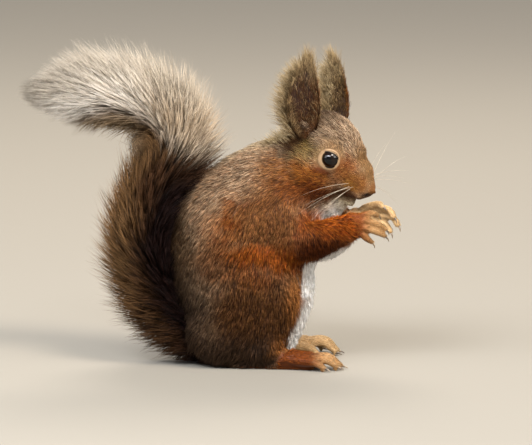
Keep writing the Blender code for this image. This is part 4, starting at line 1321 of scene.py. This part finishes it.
# longer, paler hair that stands up behind the ears
def napeTufts():
    middle = toHead(skinPoints[skinCorners].mean(1))
    middle[:, 1] = np.abs(middle[:, 1])
    onBody = ~np.isin(skinPart[skinCorners[:, 0]], ("ear", "tail"))
    share = zoneShare(middle, napeCoat["centre"], napeCoat["radii"]) * onBody
    place, normal, way, regions, _ = scatter(share > 0.02, share * napeCoat["density"])
    count = len(place)
    lean = unit(np.array(napeCoat["lean"]) + normal * 0.15 + 0.16 * rng.normal(size=(count, 3)))
    lean = unit(lean + 0.35 * way)
    length = napeCoat["length"] * (0.5 + 0.8 * rng.random(count))
    spine = np.stack([place - normal * 0.2, place + lean * (length * 0.5)[:, None],
                      place + lean * length[:, None] + normal * (0.08 * length)[:, None]], axis=1)
    coat = startTone("fringe", count)
    coat[0] = np.tile(toneRows["nape"][0], (count, 1))
    print(f"coat: nape tufts {count} locks, {count * 10} triangles")
    return lockMesh("coat_nape", spine, unit(normal + 0.4 * rng.normal(size=(count, 3))),
                    napeCoat["width"] * (0.7 + 0.6 * rng.random(count)), ringColours(coat, 2),
                    shadesFor(place, coat[3]), flatLayout(place, normal, regions), taper=(1.0, 0.75))


coats.append(napeTufts())

# the brush
brushCoat = {
    "locks": 30500, "width": 0.48,  # mm
    "lead": (12, 31),  # how far along the tail a lock reaches, mm
    "tip": 0.14,  # share of the locks set in that much of the tail's end
    "inner": 0.30, "innerOut": (0.45, 0.85), "outerOut": (0.82, 1.0),  # how far out the points lie
    "stray": 0.17, "strayOut": (1.03, 1.22), "strayWidth": 0.65,
    "bunch": 12, "bunchPull": 0.42,
    "bend": (0.0, 0.36, 0.7, 1.0),  # where the rings of a lock are along it
    "pieces": {"lower": (0, 0.27), "middle": (0.27, 0.54), "bend": (0.54, 0.80), "tip": (0.80, 1.01)},
}
brushAlong, brushOut, brushAcross = planeFrame(brushPath)


def pathAt(path, share):
    row = np.clip(share, 0, 1) * (len(path) - 1)
    spots = np.arange(len(path))
    return np.stack([np.interp(row, spots, path[:, k]) for k in range(path.shape[1])], axis=1)


def brushLocks():
    count = int(brushCoat["locks"] * sparse)
    s = rng.random(count)
    s = np.where(rng.random(count) < brushCoat["tip"], 1 - brushCoat["tip"] * rng.random(count), s)
    turn = rng.uniform(0, 2 * math.pi, count)
    cosine, sine = np.cos(turn)[:, None], np.sin(turn)[:, None]
    middle = pathAt(corePath, s)
    out, across = pathAt(coreOut, s), pathAt(coreAcross, s)
    around = unit(out * cosine + across * sine)
    root = middle + around * (coreRadiusAt(s) * 0.9)[:, None]  # a little under the skin
    # the point of the lock lies on the brush's outline, further along
    nearest = np.array([np.argmin(np.linalg.norm(brushPath[:, :3] - p, axis=1)) for p in corePath[:, :3]])
    start = np.interp(s, np.linspace(0, 1, len(corePath)), nearest / (len(brushPath) - 1))
    lead = rng.uniform(*brushCoat["lead"], count) * (0.55 + 0.45 * np.minimum(1, s * 4))
    end = start + lead / brushLength
    beyond = np.maximum(end - 1, 0) * brushLength
    centre = pathAt(brushPath, end)
    outEnd, acrossEnd = pathAt(brushOut, end), pathAt(brushAcross, end)
    inner = rng.random(count) < brushCoat["inner"]
    fullness = np.where(
        inner, rng.uniform(*brushCoat["innerOut"], count), rng.uniform(*brushCoat["outerOut"], count)
    )
    stray = rng.random(count) < brushCoat["stray"]
    fullness = np.where(stray, rng.uniform(*brushCoat["strayOut"], count), fullness)
    still = np.zeros(count)
    fullness = fullness * (1 + 0.05 * softNoise(np.stack([s * 60, turn * 4, still], axis=1), 1.0, 31))
    tipped = rng.random(count) < 0.65 * smoothStep(end, 0.90, 1.0)  # these fill the rounded end
    fullness = np.where(tipped, fullness * rng.random(count), fullness)
    fullness = fullness * (1 - 0.055 * np.minimum(beyond, 12))
    outline = outEnd * cosine * centre[:, 3:4] + acrossEnd * sine * centre[:, 4:5]
    aim = centre[:, :3] + outline * fullness[:, None]
    ahead = np.minimum(beyond, 16) * (1 - 0.8 * fullness**2) * rng.uniform(0.1, 0.8, count)
    aim += unit(pathAt(brushAlong, end)) * ahead[:, None]
    aim += rng.normal(0, 1.1, aim.shape)
    aim[:, 2] = np.maximum(aim[:, 2], 0.4 + 1.5 * rng.random(count))
    # leaves the flesh outwards, then leans to the tip and curls a little
    reach = np.linalg.norm(aim - root, axis=1)[:, None]
    forward = unit(pathAt(coreAlong, s))
    handle = root + (around * 0.75 + forward * 0.45) * reach * 0.42
    wave = noiseVectors(np.stack([s * 80, turn * 5, still], axis=1), 1.0, 41) * reach * 0.05
    shift = gatherLocks(aim, aim, brushCoat["bunch"], np.full(count, brushCoat["bunchPull"]))
    spine = np.zeros((count, len(brushCoat["bend"]), 3))
    for k, t in enumerate(brushCoat["bend"]):
        spine[:, k] = root * (1 - t) ** 2 + handle * 2 * t * (1 - t) + aim * t * t + wave * t * t
        spine[:, k] += shift * t**2
    spine[:, :, 2] = np.maximum(spine[:, :, 2], 0.3)
    edge = np.interp(spine[:, :, 2], tailShape["backZ"], tailShape["backX"])
    edge += rng.uniform(0.5, 3.5, (count, 1))
    edge += 5.5 * smoothStep(spine[:, :, 2], 84, 104)
    spine[:, 1:, 0] -= np.maximum(spine[:, 1:, 0] - edge[:, 1:], 0) * 0.92
    over = unit(around + 0.6 * rng.normal(size=around.shape))
    region = np.full(count, regionOf["tail"])
    _, _, tip, mixed = coatTones(spine[:, 3], region, 1.0)
    base, middle, _, _ = coatTones(spine[:, 2], region, 1.0)
    colours = ringColours([base, middle, tip, mixed], 3)
    flat = np.stack([0.01 + 0.98 * s, 0.01 + 0.98 * turn / (2 * math.pi)], axis=1)
    shades = shadesFor(spine[:, 3], mixed)
    width = brushCoat["width"] * (0.7 + 0.6 * rng.random(count))
    width = width * np.where(stray, brushCoat["strayWidth"], 1.0)
    pieces = []
    for name, (low, high) in brushCoat["pieces"].items():
        chosen = (s >= low) & (s < high)
        piece = lockMesh("coat_tail_" + name, spine[chosen], over[chosen], width[chosen], colours[chosen],
                         shades[chosen], flat[chosen], taper=(0.55, 1.0, 0.7))
        print(f"coat: {piece.name} {chosen.sum()} locks, {chosen.sum() * 16} triangles")
        pieces.append(piece)
    return pieces


tailCoats = brushLocks()

# the skin's own colours and layout
skin = meshObject("skin", skinPoints, skinCorners.ravel(), np.full(len(skinCorners), 3))
skinTones = coatTones(skinPoints, skinRegion, 0.0)
skinTint = skinTones[1] * 0.62 + skinTones[0] * 0.25
bareSkin, earInside, dark = (toLinear(colour) for colour in ("6e4a3c", "3a2418", "120a06"))
under = np.isin(skinPart, ("hand", "foot")) * smoothStep(-skinNormals[:, 2], 0.7, 0.98)
skinTint += (bareSkin - skinTint) * (under * 0.85)[:, None]
skinTint = np.where((skinPart == "ear")[:, None], earInside * 0.55, skinTint)
inHead = toHead(skinPoints)
# painted shade in the nostril and mouth grooves, darker where they are deeper
nostrilShare = grooveDepth(inHead, faceDetail["nostril"], 0.9, 1.0)
lipShare = grooveDepth(inHead, faceDetail["lips"], 0.7, 0.8)
skinTint += (dark - skinTint) * (np.maximum(nostrilShare, lipShare) * (skinPart == "head"))[:, None]
for side in (1, -1):
    away = np.linalg.norm(skinPoints - eyeAxes(side)[0], axis=1)
    rimShare = (skinPart == "lid") * (1 - smoothStep(away - eyeBall["radius"], 0.34, 0.62))
    skinTint += (dark - skinTint) * (rimShare * (away < 9))[:, None]  # the wet rim of the lids
paintPoints(skin, skinTint)
layer = skin.data.uv_layers.new(name="OFBake")
faceFacing = unit(cornerNormals(skinPoints, skinCorners))
layout = flatLayout(
    skinPoints[skinCorners.ravel()], np.repeat(faceFacing, 3, axis=0), np.repeat(faceRegion, 3)
)
layer.data.foreach_set("uv", layout.astype(np.float32).ravel())

print("eyes")
eyeFront = {"from": 0.55, "depth": 0.45, "proud": 0.35}  # of the radius twice, then mm
eyes = []
for side, name in ((1, "left"), (-1, "right")):
    centre, gaze, _, _ = eyeAxes(side)
    place = Vector((centre + sketchOrigin) * mm)
    turned = Vector(gaze).to_track_quat("Z", "Y").to_euler()
    bpy.ops.object.select_all(action="DESELECT")
    bpy.ops.mesh.primitive_uv_sphere_add(
        segments=48, ring_count=32, radius=eyeBall["radius"] * mm, location=place, rotation=turned
    )
    eye = bpy.context.object
    eye.name = "eyeball_" + name
    for vertex in eye.data.vertices:  # the clear front stands a little proud
        height = vertex.co.z / (eyeBall["radius"] * mm)
        if height > eyeFront["from"]:
            vertex.co.z += eyeFront["proud"] * mm * (height - eyeFront["from"]) / eyeFront["depth"]
    bpy.ops.object.transform_apply(location=True, rotation=True, scale=True)
    bpy.ops.object.shade_smooth()
    eyes.append((eye, centre, gaze))

print("claws")
clawSeat = {"nearest": 6, "ease": 0.35, "lowest": 0.05}  # points, share of the way, mm over the floor
claws = []
for name in sorted(n for n in nodes if n.startswith("claw")):
    claw = nodeCopy("horn_" + name, name)
    _, paw, side, digit = name.split("_")
    tipPoint = np.array(fingers[paw + "_" + side][int(digit) - 1][3], float)
    clawPoints = meshArrays(claw)[0]
    nearTip = np.argsort(np.linalg.norm(clawPoints - tipPoint, axis=1))[:clawSeat["nearest"]]
    clawPoints = clawPoints + (tipPoint - clawPoints[nearTip].mean(0)) * clawSeat["ease"]
    clawPoints[:, 2] = np.maximum(clawPoints[:, 2], clawSeat["lowest"])
    setPoints(claw, clawPoints)
    applyModifier(claw, "SUBSURF", levels=1, render_levels=1)
    claw.data.shade_smooth()
    claws.append((claw, name))

# whiskers
whiskerShape = {
    "radius": 0.11, "thins": 0.85, "sides": 5, "steps": 14,
    "bow": (2.5, 3.0),  # mm out and up in the middle
    "near": [  # root in the head frame, tip in the sketch frame, right side
        ((19.5, -9.0, -4.0), (36, -33, 91)), ((20.5, -8.8, -5.0), (49, -36, 91)),
        ((21.5, -8.4, -3.2), (40, -40, 97)), ((18.5, -9.4, -2.4), (38, -42, 103)),
        ((20.0, -9.0, -6.0), (43, -34, 87)),
    ],
    "far": [
        ((20.0, 8.6, -3.0), (101, 22, 109)), ((21.0, 8.4, -4.0), (103, 20, 101)),
        ((22.0, 8.0, -2.4), (98, 26, 104)), ((22.5, 7.6, -4.8), (96, 22, 88)),
        ((23.0, 7.4, -1.6), (93, 26, 131)), ((24.0, 6.6, -3.0), (99, 18, 118)),
        ((24.5, 6.4, -5.0), (94, 16, 93)), ((19.0, 9.0, -1.0), (88, 30, 124)),
    ],
}


def whiskerMesh(lines):
    points, faces, sides = [], [], []
    ring = whiskerShape["sides"]
    for root, tip in lines:
        start = fromHead(np.array([root], float))[0]
        end = np.array(tip, float)
        sideways, upwards = whiskerShape["bow"]
        bow = (start + end) / 2 + np.array([0, np.sign(end[1]) * sideways, upwards])
        t = np.linspace(0, 1, whiskerShape["steps"])[:, None]
        path = start * (1 - t) ** 2 + bow * 2 * t * (1 - t) + end * t * t
        along = unit(np.gradient(path, axis=0))
        across = unit(np.cross(along, [0.1, 0.2, 1.0]))
        over = np.cross(across, along)
        first = sum(len(p) for p in points)
        for k in range(len(path)):
            radius = whiskerShape["radius"] * (1 - whiskerShape["thins"] * k / (len(path) - 1))
            turn = np.linspace(0, 2 * math.pi, ring, endpoint=False)[:, None]
            points.append(path[k] + radius * (np.cos(turn) * across[k] + np.sin(turn) * over[k]))
        for k in range(len(path) - 1):
            for c in range(ring):
                a, b = first + k * ring + c, first + k * ring + (c + 1) % ring
                faces += [a, b, b + ring, a + ring]
                sides.append(4)
        last = first + (len(path) - 1) * ring
        faces += [first + c for c in range(ring)][::-1] + [last + c for c in range(ring)]
        sides += [ring, ring]
    return np.vstack(points), np.array(faces), np.array(sides)


whiskers = meshObject("whiskers", *whiskerMesh(whiskerShape["near"] + whiskerShape["far"]))

print("materials")


# a new material with its shader's own values, and the place that its patterns are read from
def startMaterial(name, values):
    made = bpy.data.materials.new(name)
    made.use_nodes = True
    tree = made.node_tree
    shader = tree.nodes["Principled BSDF"]
    for socket, value in values.items():
        shader.inputs[socket].default_value = value
    return made, tree, shader, addNode(tree, "ShaderNodeTexCoord").outputs["Object"]


def paintRamp(ramp, *stops):
    marks = ramp.color_ramp.elements
    marks[0].position, marks[1].position = stops[0][0], stops[-1][0]
    for place, _ in stops[1:-1]:
        marks.new(place)
    for mark, (_, colour) in zip(marks, stops):
        mark.color = (*toLinear(colour), 1)


# the colour made lighter and darker in spots of that size in mm
def mottle(tree, shader, colour, spots, size, detail, spread):
    noise = addNode(tree, "ShaderNodeTexNoise", {"Scale": 1 / (size * mm), "Detail": detail},
                    {"Vector": spots})
    wide = addNode(tree, "ShaderNodeMapRange", spread, {"Value": noise.outputs["Fac"]})
    mixed = addNode(tree, "ShaderNodeVectorMath", links={0: colour, 1: wide.outputs["Result"]},
                    operation="MULTIPLY")
    tree.links.new(mixed.outputs["Vector"], shader.inputs["Base Color"])


def addBump(tree, shader, height, strength, depth):
    bump = addNode(tree, "ShaderNodeBump", {"Strength": strength, "Distance": depth * mm},
                   {"Height": height})
    tree.links.new(bump.outputs["Normal"], shader.inputs["Normal"])


# hair: keratin locks with a low gloss, each lock's colour from root to point
def coatMaterial(name, roughness, gloss):
    made, tree, shader, spots = startMaterial(
        name, {"Roughness": roughness, "IOR": 1.55, "Specular IOR Level": gloss}
    )
    tone = addNode(tree, "ShaderNodeAttribute", attribute_name="tone")
    # single hairs, about 1 mm apart in their shade
    mottle(tree, shader, tone.outputs["Color"], spots, 1.1, 3.0,
           {"From Min": 0.25, "From Max": 0.75, "To Min": 0.78, "To Max": 1.2})
    return made


# bare and thinly haired skin: soft, in blotches of 3 mm, with scales of 0.7 mm
def skinMaterial():
    made, tree, shader, spots = startMaterial(
        "creased_skin", {"Roughness": 0.62, "IOR": 1.4, "Specular IOR Level": 0.3}
    )
    tone = addNode(tree, "ShaderNodeAttribute", attribute_name="tone")
    mottle(tree, shader, tone.outputs["Color"], spots, 3, 4.0,
           {"From Min": 0.3, "From Max": 0.7, "To Min": 0.8, "To Max": 1.15})
    cells = addNode(tree, "ShaderNodeTexVoronoi", {"Scale": 1 / (0.7 * mm)}, {"Vector": spots})
    addBump(tree, shader, cells.outputs["Distance"], 0.35, 0.2)
    return made


# a wet dark eye: near-black brown iris round a wide pupil, under a clear glossy front
def eyeMaterial(name, centre, gaze):
    made, tree, shader, spots = startMaterial(name, {
        "Roughness": 0.04, "IOR": 1.34, "Specular IOR Level": 0.35,
        "Coat Weight": 0.25, "Coat Roughness": 0.02,
    })
    middle = (centre + sketchOrigin) * mm + gaze * eyeBall["radius"] * mm
    away = addNode(tree, "ShaderNodeVectorMath", {1: tuple(middle)}, {0: spots}, operation="DISTANCE")
    rings = addNode(tree, "ShaderNodeMapRange", {"From Min": 0.0, "From Max": 6 * mm},
                    {"Value": away.outputs["Value"]})
    ramp = addNode(tree, "ShaderNodeValToRGB", links={"Fac": rings.outputs["Result"]})
    paintRamp(ramp, (0.42, "020203"), (0.6, "150a05"), (0.95, "050302"))
    mottle(tree, shader, ramp.outputs["Color"], spots, 0.4, 2.0, {"To Min": 0.6, "To Max": 1.4})
    return made


# claw: smooth horn in dark and paler growth streaks
def hornMaterial():
    made, tree, shader, spots = startMaterial("claw_horn", {"Roughness": 0.28, "IOR": 1.54})
    grain = addNode(tree, "ShaderNodeTexNoise", {"Scale": 1 / (1.6 * mm), "Detail": 3.0},
                    {"Vector": spots})
    ramp = addNode(tree, "ShaderNodeValToRGB", links={"Fac": grain.outputs["Fac"]})
    paintRamp(ramp, (0.35, "2c2018"), (0.68, "8c7a64"))
    tree.links.new(ramp.outputs["Color"], shader.inputs["Base Color"])
    addBump(tree, shader, grain.outputs["Fac"], 0.3, 0.1)
    return made


# whisker: stiff smooth keratin, pale with darker lengths
def whiskerMaterial():
    made, tree, shader, spots = startMaterial("whisker_keratin", {"Roughness": 0.35})
    bands = addNode(tree, "ShaderNodeTexNoise", {"Scale": 1 / (6 * mm), "Detail": 1.0},
                    {"Vector": spots})
    ramp = addNode(tree, "ShaderNodeValToRGB", links={"Fac": bands.outputs["Fac"]})
    paintRamp(ramp, (0.0, "6e5c48"), (1.0, "d8cdb8"))
    tree.links.new(ramp.outputs["Color"], shader.inputs["Base Color"])
    return made


bodyHair = coatMaterial("body_hair", 0.6, 0.06)
tailHair = coatMaterial("tail_hair", 0.65, 0.04)
horn = hornMaterial()
skin.data.materials.append(skinMaterial())
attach(skin, "root")
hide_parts(*fleshNodes, *earNodes, *tailNodes)
for piece in coats:
    piece.data.materials.append(bodyHair)
    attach(piece, "root")
for piece in tailCoats:
    piece.data.materials.append(tailHair)
    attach(piece, "root")
for eye, centre, gaze in eyes:
    eye.data.materials.append(eyeMaterial(eye.name + "_wet", centre, gaze))
    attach(eye, "root")
    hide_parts(eye.name.replace("eyeball", "eye"))
for claw, name in claws:
    claw.data.materials.append(horn)
    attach(claw, "root")
    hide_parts(name)
whiskers.data.materials.append(whiskerMaterial())
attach(whiskers, "root")

print("studio")
studio = {
    "floor": ("7b766d", "807c72"), "world": ("e4e9f2", 0.50),
    "sun": {"from": (0.45, -0.62, 1.0), "strength": 3.75, "spread": 20, "colour": "fff2e2"},
    "lights": [  # name, place (m), size (m), watts, colour
        ("window", (-0.50, -1.05, 1.20), (1.5, 0.40), 36.0, "f4f6fa"),
        ("catchlight", (-0.46, -0.95, 1.12), (0.46, 0.12), 9.0, "eef4ff"),
        ("fill", (1.5, -0.8, 0.9), (0.9, 0.9), 23.0, "fff8ee"),
        ("rim", (0.1, 1.2, 1.4), (1.2, 0.6), 28.0, "fff4e6"),
        ("side", (-1.3, -0.5, 0.8), (0.8, 0.8), 9.0, "f4f4f6"),
    ],
}
bpy.ops.object.select_all(action="DESELECT")
bpy.ops.mesh.primitive_plane_add(size=60, location=(0, 0, 0))
floor = bpy.context.object
floor.name = "floor"
floorPaint, floorTree, floorShader, _ = startMaterial("matt_floor", {"Roughness": 0.8})
floorNoise = addNode(floorTree, "ShaderNodeTexNoise", {"Scale": 30.0, "Detail": 4.0})
floorRamp = addNode(floorTree, "ShaderNodeValToRGB", links={"Fac": floorNoise.outputs["Fac"]})
paintRamp(floorRamp, (0.0, studio["floor"][0]), (1.0, studio["floor"][1]))
floorTree.links.new(floorRamp.outputs["Color"], floorShader.inputs["Base Color"])
floor.data.materials.append(floorPaint)

world = bpy.data.worlds.new("studio")
world.use_nodes = True
world.node_tree.nodes["Background"].inputs["Color"].default_value = (*toLinear(studio["world"][0]), 1)
world.node_tree.nodes["Background"].inputs["Strength"].default_value = studio["world"][1]
bpy.context.scene.world = world
bpy.context.scene.view_settings.view_transform = "Standard"

target = Vector((0, 0, 0.085))  # the middle of the body, where the lamps point
sun = bpy.data.lights.new("sun", "SUN")
sun.energy = studio["sun"]["strength"]
sun.angle = math.radians(studio["sun"]["spread"])
sun.color = tuple(toLinear(studio["sun"]["colour"]))
sunObject = bpy.data.objects.new("sun", sun)
sunObject.rotation_euler = Vector(studio["sun"]["from"]).to_track_quat("Z", "Y").to_euler()
bpy.context.collection.objects.link(sunObject)
for name, place, size, watts, colour in studio["lights"]:
    light = bpy.data.lights.new(name, "AREA")
    light.shape = "RECTANGLE"
    light.size, light.size_y = size
    light.energy = watts
    light.color = tuple(toLinear(colour))
    lamp = bpy.data.objects.new(name, light)
    lamp.location = place
    lamp.rotation_euler = (target - Vector(place)).to_track_quat("-Z", "Y").to_euler()
    bpy.context.collection.objects.link(lamp)

# degrees, metres, then in mm: how much the view takes in and where it is aimed in the sketch frame
view = {"elevation": 8, "distance": 2.5, "mmAcross": 308.56, "aimX": 17.98, "aimUp": 80.91}
tilt = math.radians(view["elevation"])
upward = Vector((0, math.sin(tilt), math.cos(tilt)))
aim = Vector((view["aimX"] * mm, 0, 0)) + upward * view["aimUp"] * mm + Vector(sketchOrigin) * mm
camera = bpy.data.cameras.new("camera")
camera.sensor_width = 36
camera.lens = 36 * view["distance"] / (view["mmAcross"] * mm)
camera.clip_end = 20
cameraObject = bpy.data.objects.new("camera", camera)
cameraObject.location = aim - Vector((0, math.cos(tilt), -math.sin(tilt))) * view["distance"]
cameraObject.rotation_euler = (math.radians(90 - view["elevation"]), 0, 0)
bpy.context.collection.objects.link(cameraObject)
bpy.context.scene.camera = cameraObject
